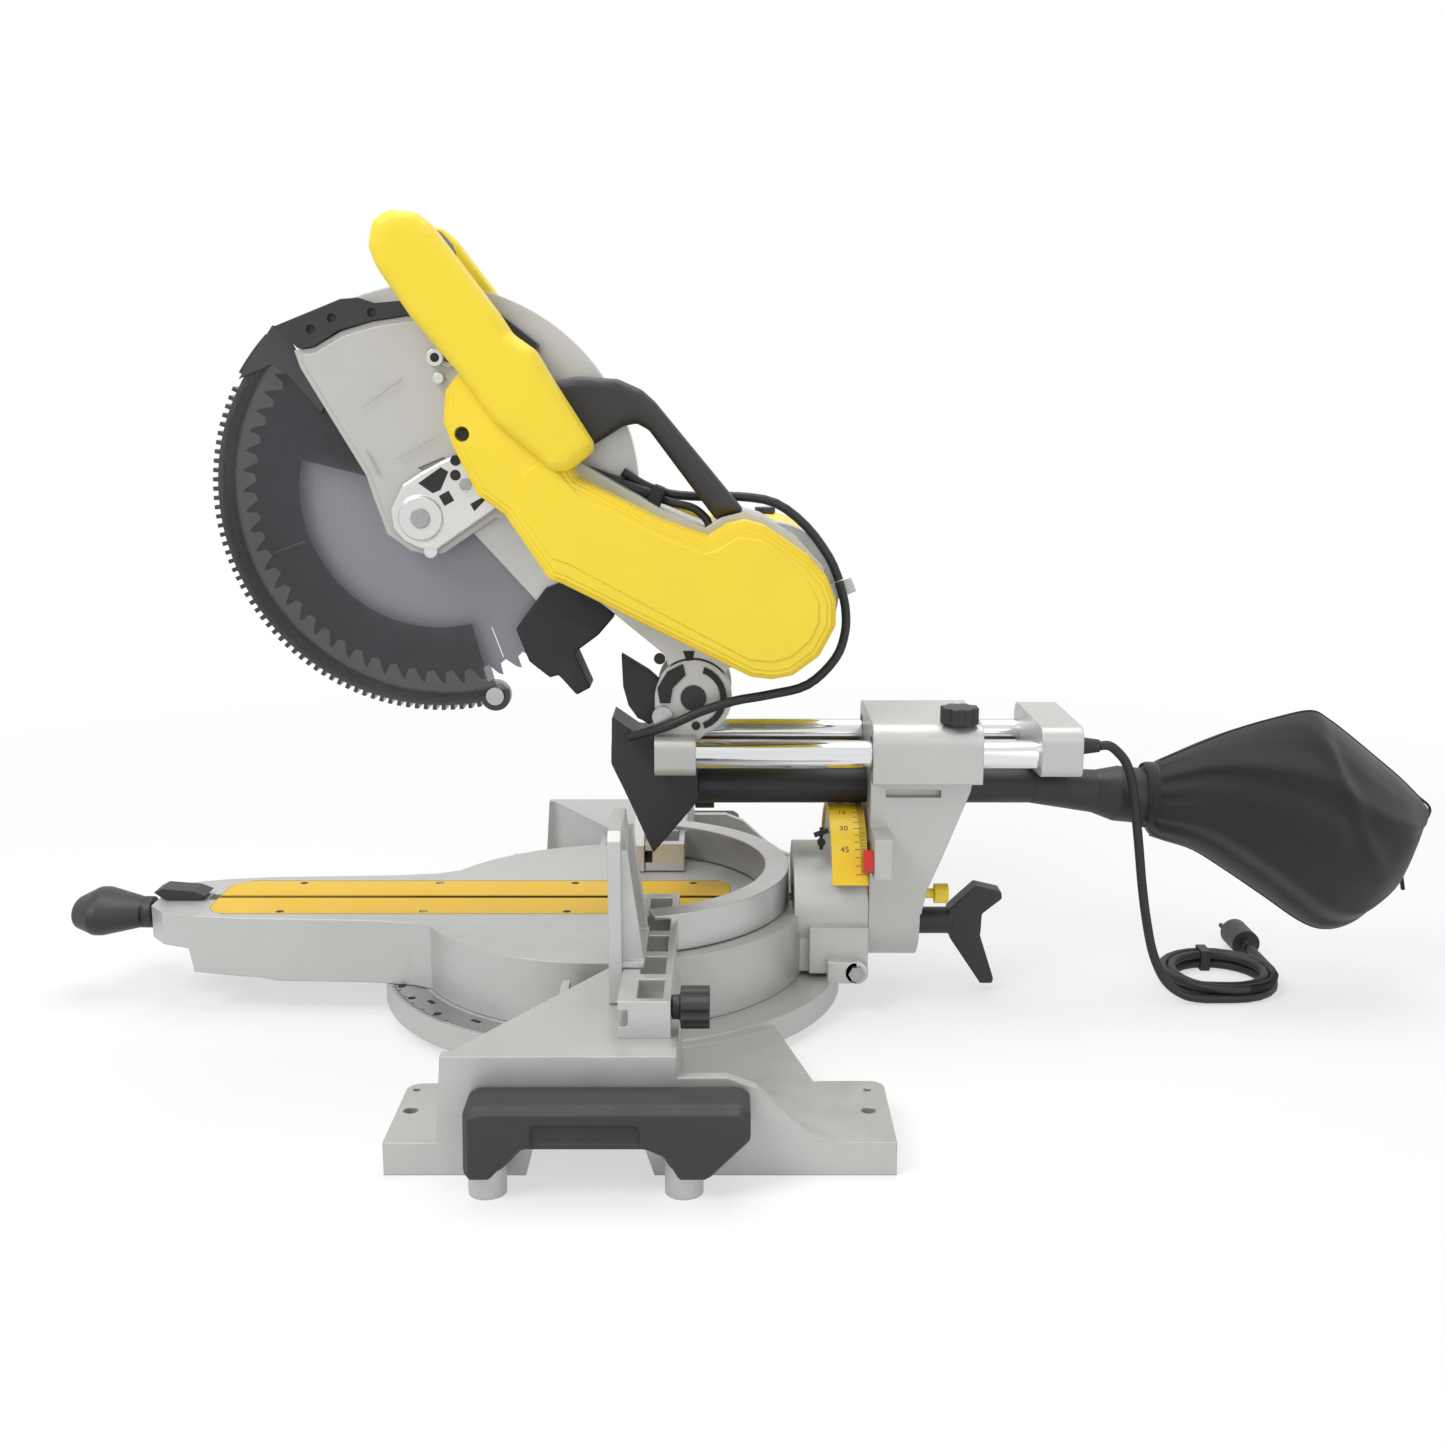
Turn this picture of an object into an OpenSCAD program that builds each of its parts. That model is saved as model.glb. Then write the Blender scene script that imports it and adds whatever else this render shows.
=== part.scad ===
// Sliding compound miter saw, 305 mm blade, corded.
// Origin: centre of the four bench bolts, on the bench. +X is the operator's right, +Y the rear, +Z up.
// The saw is drawn with its head raised, square to the fence, part of the way along its rails.

/* [Base] */
// Height of the table above the bench
table_h = 80; // [74:1:86]
// Half the width over the end walls
base_half_w = 325; // [310:1:335]
// Spacing of the bench bolts across the saw
bolt_span_x = 556; // [540:1:566]
// Spacing of the bench bolts front to rear
bolt_span_y = 302; // [296:1:306]
// Diameter of each bench bolt hole
bolt_hole_d = 9.6; // [7:0.1:10.5]
// Distance of the miter pivot in front of the bolt centre
pivot_back = 35; // [32:1:38]
// Wall thickness of the castings
wall = 6; // [5:0.5:7]
// Thickness of the foot plates
foot_h = 22; // [18:1:24]
// Radius of the round base pan
pan_r = 186; // [182:1:190]
// Height of the top of the base pan
pan_h = 28; // [26:0.5:29]
// Radius of the side posts under the hand grips
post_r = 12; // [10:0.5:13]

/* [Table] */
// Radius of the turntable
table_r = 157; // [154:1:160]
// Reach of the table arm in front of the miter pivot
arm_reach = 373; // [360:1:380]
// Radius of the miter pivot bolt
miter_bolt_r = 8; // [6:0.5:10]
// Half the width of both kerf plates together
kerf_half_w = 44; // [40:1:46]
// Thickness of the kerf plates
kerf_t = 3.5; // [2.5:0.1:4]
// Width of the kerf slot
kerf_gap = 6; // [5.4:0.1:7]

/* [Fence] */
// Position of the fence face behind the bolt centre (negative is in front)
fence_y = -22; // [-26:1:-20]
// Height of the sliding fences above the table
fence_h = 120; // [110:1:121]
// Height of the fixed fence bars above the table
bar_h = 25; // [22:1:28]
// Outer end of the sliding fences
fence_end = 238; // [230:1:242]

/* [Bevel column and rails] */
// Radius of the bevel barrel
barrel_r = 47; // [44:1:48]
// Height of the rail axes above the table
rail_up = 130; // [126:1:134]
// Half the spacing of the two rails
rail_x = 44; // [42:0.5:46]
// Outer radius of the rails
rail_r = 11; // [10:0.5:12]
// Wall of the rail tubes
rail_wall = 2.5; // [2:0.5:4]
// Radius of the dust pipe
pipe_r = 14.5; // [13:0.5:15]
// Running clearance of the shafts and rails
fit = 0.05; // [0.03:0.01:0.08]

/* [Head] */
// Blade radius
blade_r = 152.4; // [148:0.1:153]
// Blade body thickness
blade_t = 2.2; // [1.8:0.1:2.6]
// Number of blade teeth
blade_teeth = 60; // [40:1:80]
// Blade centre behind the bolt centre, head raised
blade_y = -168; // [-170:1:-166]
// Blade centre above the table, head raised
blade_up = 331; // [328:1:333]
// Head pivot behind the bolt centre
hinge_y = 32; // [30:1:34]
// Head pivot above the table
hinge_up = 174; // [173:1:175]
// Radius of the head pivot pin
hinge_r = 8; // [6:0.5:9]
// Outer radius of the lower guard
guard_r = 167; // [165:0.5:168]
// Number of ribs on the lower guard's rim
guard_ribs = 54; // [30:1:60]
// Radius of the motor housing
motor_r = 52; // [48:1:54]
// Length of the motor housing
motor_len = 148; // [135:1:150]

/* [Hidden] */
$fn = 64;
gap = 0.3;                       // seat clearance between pieces that only rest on each other
pivot_y = -pivot_back;
table_z = table_h;
rail_z = table_h + rail_up;
hinge_z = table_h + hinge_up;
blade_z = table_h + blade_up;
bar_z = table_h + bar_h;
fence_z = table_h + fence_h;
pan_rim_z = 8;
wing_front = -122;
wing_back = 26;
step_z = table_h - 14;
foot_front = -160;
foot_rear = 165;
pipe_z = rail_z - 35;
column_y0 = 171;
column_y1 = 256;
column_top = rail_z + 26;
block_z = rail_z - 20;
cap_y0 = 301;
cap_y1 = 333;
carriage_y0 = 2;
carriage_y1 = 34;
motor_y = 92;
motor_z = hinge_z + 78;
lay_y = -95;
lay_z = blade_z + 7;
motor_pulley_r = 12;
lay_pulley_r = 14;
belt_t = 3.3;
sprocket_r = 11;
spindle_sprocket_r = 32;
case_belt_t = 2.5;
bevel_scale_r = 79.8;
hand_y = -178;
hand_z = blade_z + 190;
trigger_y = -163;
trigger_z = hand_z + 1;

// ---- drawing helpers -------------------------------------------------------------------------

// An outline in (Y, Z), extruded from x0 to x1
module yz(x0, x1) { translate([x0, 0, 0]) rotate([90, 0, 90]) linear_extrude(x1 - x0) children(); }

// An outline in (X, Z), extruded from y0 to y1
module xz(y0, y1) { translate([0, y1, 0]) rotate([90, 0, 0]) linear_extrude(y1 - y0) children(); }

// An outline in (X, Y), extruded from z0 to z1
module xy(z0, z1) { translate([0, 0, z0]) linear_extrude(z1 - z0) children(); }

module rod_x(x0, x1, y, z, r) { translate([x0, y, z]) rotate([0, 90, 0]) cylinder(h = x1 - x0, r = r); }

module rod_y(y0, y1, x, z, r) { translate([x, y0, z]) rotate([-90, 0, 0]) cylinder(h = y1 - y0, r = r); }

module rod_z(z0, z1, x, y, r) { translate([x, y, z0]) cylinder(h = z1 - z0, r = r); }

// A box from one corner to the opposite one
module block(a, b) { translate(a) cube([b[0] - a[0], b[1] - a[1], b[2] - a[2]]); }

module both_sides() {
    children();
    mirror([1, 0, 0]) children();
}

// A pie slice of radius r between two angles, drawn from the origin
module slice(r, a0, a1) {
    n = max(2, ceil((a1 - a0) / 30));
    polygon(concat([[0, 0]], [for (i = [0 : n]) let (a = a0 + (a1 - a0) * i / n) r * 1.2 * [cos(a), sin(a)]]));
}

// Part of a flat ring between two angles
module ring_part(r0, r1, a0, a1) {
    intersection() {
        difference() { circle(r1, $fn = 128); circle(r0, $fn = 128); }
        slice(r1, a0, a1);
    }
}

// A plate in the YZ plane with a rounded outer edge, built of thinning layers
module soft_plate(x0, x1, edge, layers = 4) {
    function layer_x(i) = x1 - edge * (1 - sin(90 * i / layers));
    yz(x0, layer_x(0)) children();
    for (i = [1 : layers])
        yz(layer_x(i - 1) - 0.4, layer_x(i)) offset(delta = -edge * (1 - cos(90 * (i - 0.5) / layers))) children();
}

// A lobed hand knob, drawn along +Z
module lobed_knob(r, h, lobes) {
    linear_extrude(h) difference() {
        circle(r);
        for (i = [0 : lobes - 1]) rotate(360 * i / lobes) translate([r * 1.16, 0]) circle(r * 0.3, $fn = 24);
    }
}

// Rings of a tube swept along points
function unit(v) = v / norm(v);
function tangent(p, i) = unit(p[min(i + 1, len(p) - 1)] - p[max(i - 1, 0)]);
module tube_along(p, r, sides = 8) {
    n = len(p);
    up = [0.13, 0.31, 0.94];
    pts = [for (i = [0 : n - 1]) let (t = tangent(p, i), u = unit(cross(t, up)), v = cross(t, u))
        for (k = [0 : sides - 1]) p[i] + r * (cos(360 * k / sides) * u + sin(360 * k / sides) * v)];
    ends = [[for (k = [0 : sides - 1]) k], [for (k = [sides - 1 : -1 : 0]) (n - 1) * sides + k]];
    skin = [for (i = [0 : n - 2]) for (k = [0 : sides - 1]) let (m = (k + 1) % sides)
        [i * sides + m, i * sides + k, (i + 1) * sides + k, (i + 1) * sides + m]];
    polyhedron(pts, concat(ends, skin));
}

// Points of a smooth curve through hand-picked points, a few to each span
function bend(a, b, c, d, t) = 0.5 * (2 * b + (c - a) * t + (2 * a - 5 * b + 4 * c - d) * t * t
    + (3 * b - 3 * c + d - a) * t * t * t);
function smooth(p, steps) = concat([for (i = [0 : len(p) - 2]) for (s = [0 : steps - 1])
    bend(p[max(i - 1, 0)], p[i], p[i + 1], p[min(i + 2, len(p) - 1)], s / steps)], [p[len(p) - 1]]);

// ---- base ------------------------------------------------------------------------------------

// One wing of the base in plan, with its slanted front edge
module wing_plan() {
    difference() {
        polygon([[120, -17], [150, -17], [base_half_w, wing_front], [base_half_w, wing_back],
            [190, wing_back], [140, 10]]);
        translate([0, pivot_y]) circle(table_r + 1.5, $fn = 128);
    }
}

// Side view of an end wall: front foot, table, step, sloping rear leg, and the arch between the feet
module end_wall_outline() {
    difference() {
        polygon([[foot_front, 0], [foot_front, foot_h], [wing_front - 4, foot_h], [wing_front, table_z],
            [wing_back, table_z], [wing_back, step_z], [58, step_z], [76, step_z - 7], [92, step_z - 22],
            [110, foot_h + 6], [128, foot_h], [foot_rear, foot_h], [foot_rear, 0]]);
        polygon([[-70, -1], [-62, 30], [2, 30], [12, -1]]);
    }
}

module foot_plan(y0, y1, x0) {
    hull() {
        translate([x0 + 10, y0 + 10]) circle(10, $fn = 24);
        translate([x0 + 10, y1 - 10]) circle(10, $fn = 24);
        translate([base_half_w - 4, y0 + 4]) circle(4, $fn = 16);
        translate([base_half_w - 4, y1 - 4]) circle(4, $fn = 16);
    }
}

module base_side() {
    // wing top with its skirt walls
    xy(table_z - wall, table_z) wing_plan();
    xy(pan_h - 4, table_z - wall) difference() {
        wing_plan();
        intersection() {
            offset(delta = -wall) wing_plan();
            circle(base_half_w * 1.2);
        }
    }
    yz(base_half_w - wall - 2, base_half_w) end_wall_outline();
    xy(0, foot_h) foot_plan(foot_front, wing_front + 8, 236);
    xy(0, foot_h) foot_plan(112, foot_rear, 232);
    // webs from the feet to the pan
    xy(foot_h - wall, foot_h) polygon([[120, -90], [base_half_w - wall, -90], [base_half_w - wall, wing_front],
        [240, wing_front], [140, -130]]);
    xy(foot_h - wall, foot_h) polygon([[130, 20], [base_half_w - wall, 20], [base_half_w - wall, 118],
        [236, 118], [120, 90]]);
    // ribs under the wing
    for (y = [-60, 0]) block([175, y, pan_h - 4], [base_half_w - wall, y + wall, table_z - wall]);
    // posts under the hand grips, on short arms from the end wall
    for (y = [-91, 31]) {
        rod_z(0, 46, base_half_w + 20, y, post_r);
        block([base_half_w - 1, y - 8, 34], [base_half_w + 20, y + 8, 46]);
    }
}

module base_casting() {
    color([0.74, 0.75, 0.75]) difference() {
        union() {
            both_sides() base_side();
            // round pan that carries the turntable
            translate([0, pivot_y, pan_h - wall]) cylinder(h = wall, r = pan_r, $fn = 128);
            translate([0, pivot_y, pan_rim_z]) difference() {
                cylinder(h = pan_h - pan_rim_z, r = pan_r, $fn = 128);
                translate([0, 0, -1]) cylinder(h = pan_h, r = pan_r - wall, $fn = 128);
            }
            rod_z(pan_rim_z, pan_h, 0, pivot_y, 30);
            for (a = [0 : 45 : 135]) translate([0, pivot_y, 0]) rotate(a)
                block([-pan_r + 3, -3, pan_rim_z + 4], [pan_r - 3, 3, pan_h - wall]);
        }
        rod_z(0, pan_h + 1, 0, pivot_y, miter_bolt_r + fit);
        for (x = [-1, 1], y = [-1, 1]) {
            rod_z(-1, foot_h + 1, x * bolt_span_x / 2, y * bolt_span_y / 2, bolt_hole_d / 2);
            rod_z(-1, foot_h + 1, x * (bolt_span_x / 2 - 32), y * (bolt_span_y / 2 + 2), 2.5);
        }
        // shallow seat of the detent plate
        translate([0, pivot_y, pan_h - 1.5]) linear_extrude(3) ring_part(160.5, pan_r - 4, 200, 340);
    }
}

// Steel plate with the notches that catch the table at the common angles
module miter_detent_plate() {
    color([0.62, 0.63, 0.64]) translate([0, pivot_y, pan_h - 1.5]) linear_extrude(1.4) difference() {
        ring_part(161, pan_r - 4.5, 201, 339);
        for (a = [-45, -31.6, -22.5, -15, 0, 15, 22.5, 31.6, 45]) rotate(270 + a)
            translate([pan_r - 9, 0]) circle(3.2, $fn = 24);
        for (a = [-56, -37, -9, 9, 37, 56]) rotate(270 + a) translate([168, 0]) square([4, 9], center = true);
    }
}

// Hand grips round the side posts
module grip_outline() {
    polygon([[-104, 57], [-97, 61], [66, 61], [72, 57], [72, 38], [46, 12], [26, 12], [18, 27], [7, 32],
        [-68, 32], [-82, 17], [-86, 12], [-102, 12], [-105, 17]]);
}

module side_grips() {
    color([0.13, 0.13, 0.14]) both_sides() difference() {
        union() {
            yz(base_half_w + gap, base_half_w + 30) grip_outline();
            yz(base_half_w + 30, base_half_w + 36) offset(delta = -3) grip_outline();
        }
        for (y = [-91, 31]) {
            rod_z(-1, 46 + gap, base_half_w + 20, y, post_r + gap);
            block([base_half_w - 1, y - 8 - gap, 0], [base_half_w + 20, y + 8 + gap, 46 + gap]);
        }
        // finger hollow in the outer face
        block([base_half_w + 32, -62, 36], [base_half_w + 40, 4, 50]);
    }
}

// ---- fence -----------------------------------------------------------------------------------

bar_y0 = fence_y + 9.5;
bar_y1 = bar_y0 + 34;
bar_end = 296;
ring_r0 = 125;
ring_r1 = 144;

module fixed_fence() {
    color([0.78, 0.79, 0.79]) difference() {
        union() {
            both_sides() block([70, bar_y0, table_z + 1], [bar_end, bar_y1, bar_z]);
            both_sides() block([table_r + 6, bar_y0, table_z], [bar_end, bar_y1, table_z + 1]);
            // bridge that joins the two bars round the back
            translate([0, pivot_y, table_z + 1]) linear_extrude(bar_h + 3) ring_part(ring_r0, ring_r1, 16, 164);
        }
        // grooves that guide the sliding fences
        both_sides() block([55, bar_y0 - 1, table_z + 8], [bar_end + 1, bar_y0 + 6.5, table_z + 19]);
        // pockets between the ribs
        both_sides() for (x = [80 : 44 : 256]) block([x, bar_y0 + 12, table_z + 9], [x + 34, bar_y1 - 5, bar_z + 1]);
        both_sides() rod_y(bar_y0 - 1, bar_y1 + 1, bar_end - 14, table_z + 16, 4 + gap);
        both_sides() for (x = [172, 246]) rod_z(table_z - 1, table_z + 10, x, bar_y1 - 12, 3 + gap);
    }
}

// Bolts that hold the fixed fence to the base
module fence_bolts() {
    color([0.45, 0.46, 0.48]) both_sides() for (x = [172, 246]) {
        rod_z(table_z + gap, table_z + 9, x, bar_y1 - 12, 3);
        rod_z(table_z + 9 + gap, table_z + 14, x, bar_y1 - 12, 5.5);
        rod_z(table_z + 8.5, table_z + 9.5, x, bar_y1 - 12, 2.9);
    }
}

module fence_panel() {
    difference() {
        union() {
            xz(fence_y, fence_y + 9) polygon([[68, table_z + 0.8], [68, table_z + 24], [172, fence_z],
                [fence_end - 6, fence_z], [fence_end, fence_z - 6], [fence_end, table_z + 0.8]]);
            // tongue in the bar's groove
            block([110, fence_y + 8, table_z + 8 + gap], [fence_end - 4, bar_y0 + 6, table_z + 19 - gap]);
            // gussets and the stiffening rim behind the face
            for (x = [162, fence_end - 12]) yz(x, x + 5) polygon([[fence_y + 8, bar_z + 0.6],
                [fence_y + 24, bar_z + 0.6], [fence_y + 13, fence_z - 14], [fence_y + 8, fence_z - 14]]);
            block([162, fence_y + 8, bar_z + 0.6], [fence_end - 2, fence_y + 24, bar_z + 4.6]);
        }
        // lightening hollow between the gussets
        block([174, fence_y + 5, bar_z + 12], [fence_end - 18, fence_y + 10, fence_z - 18]);
    }
}

module sliding_fence_right() { color([0.8, 0.81, 0.81]) fence_panel(); }

module sliding_fence_left() { color([0.8, 0.81, 0.81]) mirror([1, 0, 0]) fence_panel(); }

// Clamp screw of a sliding fence, along Y behind the bar
module fence_knob() {
    difference() {
        union() {
            rod_y(bar_y0 + 7, bar_y1 + 8, bar_end - 14, table_z + 16, 4);
            translate([bar_end - 14, bar_y1 + gap, table_z + 16]) rotate([-90, 0, 0]) cylinder(h = 6, r = 8);
            translate([bar_end - 14, bar_y1 + 6, table_z + 16]) rotate([-90, 0, 0]) lobed_knob(14, 19, 7);
        }
        rod_y(bar_y1 + 23, bar_y1 + 27, bar_end - 14, table_z + 16, 5);
    }
}

module fence_knob_right() { color([0.1, 0.1, 0.11]) fence_knob(); }

module fence_knob_left() { color([0.1, 0.1, 0.11]) mirror([1, 0, 0]) fence_knob(); }

// ---- table -----------------------------------------------------------------------------------

arm_end = pivot_y - arm_reach;
trough_half = 8;
kerf_front = arm_end + 48;
kerf_back = pivot_y + 96;
screw_rows = [-300, -185, -70, 30];

module arm_plan() {
    polygon([[-92, -140], [-66, -190], [-60, -225], [-55, -327], [-49, arm_end + 42], [-40, arm_end + 14],
        [-24, arm_end], [24, arm_end], [40, arm_end + 14], [49, arm_end + 42], [55, -327], [60, -225],
        [66, -190], [92, -140]]);
}

module table_plan() {
    translate([0, pivot_y]) circle(table_r, $fn = 128);
    arm_plan();
}

module kerf_plan() {
    hull() {
        for (s = [-1, 1]) {
            translate([s * (kerf_half_w - 22), kerf_front + 22]) circle(22, $fn = 32);
            translate([s * (kerf_half_w - 14), kerf_back - 14]) circle(14, $fn = 32);
        }
    }
}

module turntable() {
    color([0.77, 0.78, 0.78]) difference() {
        union() {
            // roof and skirt of the round table and its arm
            intersection() {
                difference() {
                    xy(pan_h + gap, table_z) table_plan();
                    xy(0, table_z - 10) offset(delta = -wall) table_plan();
                    // the trough that clears the blade
                    block([-trough_half, arm_end + 40, 0], [trough_half, kerf_back - 6, table_z + 1]);
                }
                yz(-200, 200) polygon([[arm_end - 5, table_z - 26], [arm_end + 36, table_z - 28],
                    [arm_end + 40, 33], [-314, 31], [-300, pan_h + gap], [200, pan_h + gap], [200, table_z + 1],
                    [arm_end - 5, table_z + 1]]);
            }
            rod_z(pan_h + gap, table_z - 20, 0, pivot_y, 26);
            for (x = [-trough_half - 5, trough_half]) block([x, arm_end + 44, table_z - 24], [x + 5, 60, table_z - 4]);
            for (a = [30, 150, 210, 330]) translate([0, pivot_y, 0]) rotate(a)
                block([22, -3, pan_h + 4], [table_r - 3, 3, table_z - 8]);
            // neck and barrel of the bevel joint
            block([-42, 100, pan_h + 3], [42, 124, table_z]);
            rod_y(112, column_y0 - gap, 0, table_z, barrel_r);
            // raised web that carries the bevel scale
            xz(142, 150) intersection() {
                translate([0, table_z]) ring_part(36, bevel_scale_r - 3, 26, 154);
                translate([-90, table_z + 26]) square([180, 80]);
            }
            // stop lugs low on both sides
            both_sides() block([30, 124, pan_h + 4], [50, column_y0 - gap, 70]);
        }
        xy(table_z - kerf_t - gap, table_z + 1) offset(delta = gap) kerf_plan();
        rod_z(0, table_z, 0, pivot_y, miter_bolt_r + fit);
        rod_z(table_z - 40, table_z, 0, pivot_y, 15);
        rod_y(110, column_y0, 0, table_z, 10 + gap);
        rod_y(116, 124, 0, table_z, 17);
        // seat of the lock handle's shaft in the nose
        rod_y(arm_end - 6, arm_end + 45, 0, table_z - 14, 7 + fit);
    }
}

// Two plates whose edges along the slot are undercut, so that the tilted blade clears them
module kerf_plates() {
    color([0.93, 0.75, 0.12]) difference() {
        xy(table_z - kerf_t, table_z) kerf_plan();
        xz(kerf_front - 1, kerf_back + 1) polygon([[-kerf_gap / 2, table_z + 1], [-kerf_gap / 2, table_z],
            [-kerf_gap / 2 - kerf_t * 1.2, table_z - kerf_t - 0.1], [kerf_gap / 2 + kerf_t * 1.2, table_z - kerf_t - 0.1],
            [kerf_gap / 2, table_z], [kerf_gap / 2, table_z + 1]]);
        for (s = [-1, 1], y = screw_rows) rod_z(table_z - 5, table_z + 1, s * (kerf_half_w - 6), y, 3.4);
    }
}

module kerf_screws() {
    color([0.1, 0.1, 0.1]) for (s = [-1, 1], y = screw_rows)
        rod_z(table_z - kerf_t - gap, table_z - 0.6, s * (kerf_half_w - 6), y, 3.1);
}

module miter_pivot_bolt() {
    color([0.5, 0.51, 0.53]) {
        rod_z(6, table_z - 36, 0, pivot_y, miter_bolt_r);
        translate([0, pivot_y, table_z - 40 + gap]) cylinder(h = 9, r = 13, $fn = 6);
        translate([0, pivot_y, 1]) cylinder(h = 6.7, r = 13, $fn = 6);
    }
}

// Front handle: turning it locks the table
module miter_lock_handle() {
    color([0.12, 0.12, 0.13]) {
        rod_y(arm_end - 8, arm_end + 42, 0, table_z - 14, 7);
        translate([0, arm_end - 6, table_z - 13]) rotate([90, 0, 0]) {
            cylinder(h = 10, r = 13);
            hull() {
                translate([0, 0, 8]) scale([1.25, 0.9, 1]) cylinder(h = 2, r = 13, $fn = 32);
                translate([0, 1, 40]) scale([1.5, 0.95, 1]) cylinder(h = 6, r = 20, $fn = 32);
                translate([0, 0, 58]) scale([1.2, 0.8, 0.5]) sphere(17, $fn = 24);
            }
        }
    }
}

// Lever on top of the handle that lifts the detent
module miter_latch_lever() {
    color([0.14, 0.14, 0.15]) yz(-11, 11) polygon([[arm_end - 2, table_z + 7], [arm_end + 6, table_z + 1],
        [arm_end + 12, table_z + 0.5], [arm_end + 36, table_z + 0.5], [arm_end + 40, table_z + 4],
        [arm_end + 30, table_z + 8], [arm_end + 4, table_z + 10]]);
}

// ---- bevel joint -----------------------------------------------------------------------------

module bevel_scale() {
    color([0.93, 0.74, 0.1]) xz(140, 168) translate([0, table_z]) ring_part(bevel_scale_r - 2.9, bevel_scale_r, 24, 156);
}

// Bolt on the bevel axis, held by the table
module bevel_pivot_bolt() {
    color([0.5, 0.51, 0.53]) {
        rod_y(118, 205, 0, table_z, 10);
        rod_y(116.5, 124 - gap, 0, table_z, 16);
    }
}

module bevel_column() {
    color([0.75, 0.76, 0.76]) difference() {
        union() {
            yz(-46, 46) polygon([[column_y0, table_z], [column_y0, block_z + 1], [251, block_z + 1],
                [249, block_z - 10], [228, table_z + 46], [217, table_z + 20], [213, table_z]]);
            rod_y(column_y0, 212, 0, table_z, 46);
            // rail block with round shoulders
            xz(column_y0, column_y1) hull() {
                translate([-rail_x - 18, block_z]) square([2 * rail_x + 36, 10]);
                for (s = [-1, 1]) translate([s * (rail_x + 2), column_top - 16]) circle(16, $fn = 48);
            }
            // cheeks that carry the pointers
            both_sides() block([45, column_y0, table_z + 40], [84, column_y0 + 14, table_z + 72]);
        }
        for (x = [-rail_x, rail_x]) rod_y(column_y0 - 1, column_y1 + 1, x, rail_z, rail_r + 4);
        rod_y(column_y0 - 1, column_y1 + 1, 0, pipe_z, pipe_r + 2);
        rod_y(column_y0 - 1, 216, 0, table_z, 10 + fit);
        rod_y(205, 220, 0, table_z, 14);
        rod_y(195, 220, 0, table_z - 20, 8 + fit);
        rod_z(rail_z, column_top + 1, rail_x + 6, column_y1 - 18, 3 + fit);
        // lightening pockets in the flanks
        both_sides() block([40, column_y0 + 12, table_z + 96], [50, 226, block_z - 8]);
        // the yellow pin's hole
        rod_y(196, 240, 22, table_z + 10, 4 + fit);
    }
}

module rail_bushes() {
    color([0.3, 0.3, 0.32]) for (x = [-rail_x, rail_x], y = [column_y0 + 1, column_y1 - 19]) difference() {
        rod_y(y, y + 18, x, rail_z, rail_r + 3.98);
        rod_y(y - 1, y + 19, x, rail_z, rail_r + fit);
    }
}

module bevel_pointers() {
    color([0.75, 0.12, 0.1]) both_sides() xz(column_y0 - 8, column_y0 - gap) translate([0, table_z]) rotate(34)
        polygon([[bevel_scale_r + 1, 0], [bevel_scale_r + 8, -7], [bevel_scale_r + 20, -8],
            [bevel_scale_r + 20, 8], [bevel_scale_r + 8, 7]]);
}

// Lever behind the column that locks the bevel
module bevel_lock_lever() {
    color([0.1, 0.1, 0.11]) {
        rod_y(196, 246, 0, table_z - 20, 8);
        rod_y(214, 244, 0, table_z - 20, 11);
        yz(-9, 9) polygon([[240, table_z - 9], [262, table_z + 12], [283, table_z + 7], [284, table_z + 1],
            [268, table_z - 12], [267, table_z - 31], [279, table_z - 68], [278, table_z - 72], [268, table_z - 72],
            [242, table_z - 33]]);
    }
}

// Yellow pull pin that picks the bevel stops
module bevel_stop_pin() {
    color([0.9, 0.72, 0.1]) {
        rod_y(200, 230, 22, table_z + 10, 4);
        rod_y(226, 237, 22, table_z + 10, 8);
    }
}

module rail_lock_knob() {
    color([0.1, 0.1, 0.11]) {
        rod_z(rail_z + rail_r + 6, column_top + 6, rail_x + 6, column_y1 - 18, 3);
        translate([rail_x + 6, column_y1 - 18, column_top + gap]) lobed_knob(15, 13, 8);
    }
}

// ---- rails and carriage ----------------------------------------------------------------------

module rails() {
    color([0.83, 0.84, 0.85]) for (x = [-rail_x, rail_x]) difference() {
        rod_y(carriage_y0 + 8, cap_y0 + 22, x, rail_z, rail_r);
        rod_y(carriage_y0 + 7, cap_y0 + 23, x, rail_z, rail_r - rail_wall);
    }
}

cheek_x0 = 26;
cheek_x1 = 38;

module carriage() {
    color([0.74, 0.75, 0.75]) difference() {
        union() {
            xz(carriage_y0, carriage_y1) hull() for (s = [-1, 1], z = [-8, 8])
                translate([s * (rail_x + 7), rail_z + z]) circle(7, $fn = 32);
            both_sides() yz(cheek_x0, cheek_x1) {
                translate([hinge_y, hinge_z]) circle(30);
                polygon([[carriage_y0, rail_z], [carriage_y0, hinge_z], [hinge_y + 30, hinge_z],
                    [carriage_y1 + 12, rail_z + 20], [carriage_y1, rail_z + 8], [carriage_y1, rail_z]]);
            }
        }
        for (x = [-rail_x, rail_x]) rod_y(carriage_y0 + 8 - gap, carriage_y1 + 1, x, rail_z, rail_r + 0.02);
        rod_x(-50, 50, hinge_y, hinge_z, hinge_r + 0.02);
        // hole of the lock-down pin
        rod_x(20, 50, hinge_y - 24, hinge_z - 14, 4 + fit);
    }
}

module hinge_pin() {
    color([0.12, 0.12, 0.13]) {
        rod_x(-cheek_x1 - 1, cheek_x1 + 1, hinge_y, hinge_z, hinge_r);
        rod_x(cheek_x1 + gap, cheek_x1 + 1.5, hinge_y, hinge_z, 10);
        rod_x(-cheek_x1 - 4, -cheek_x1 - gap, hinge_y, hinge_z, 11);
    }
}

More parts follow.
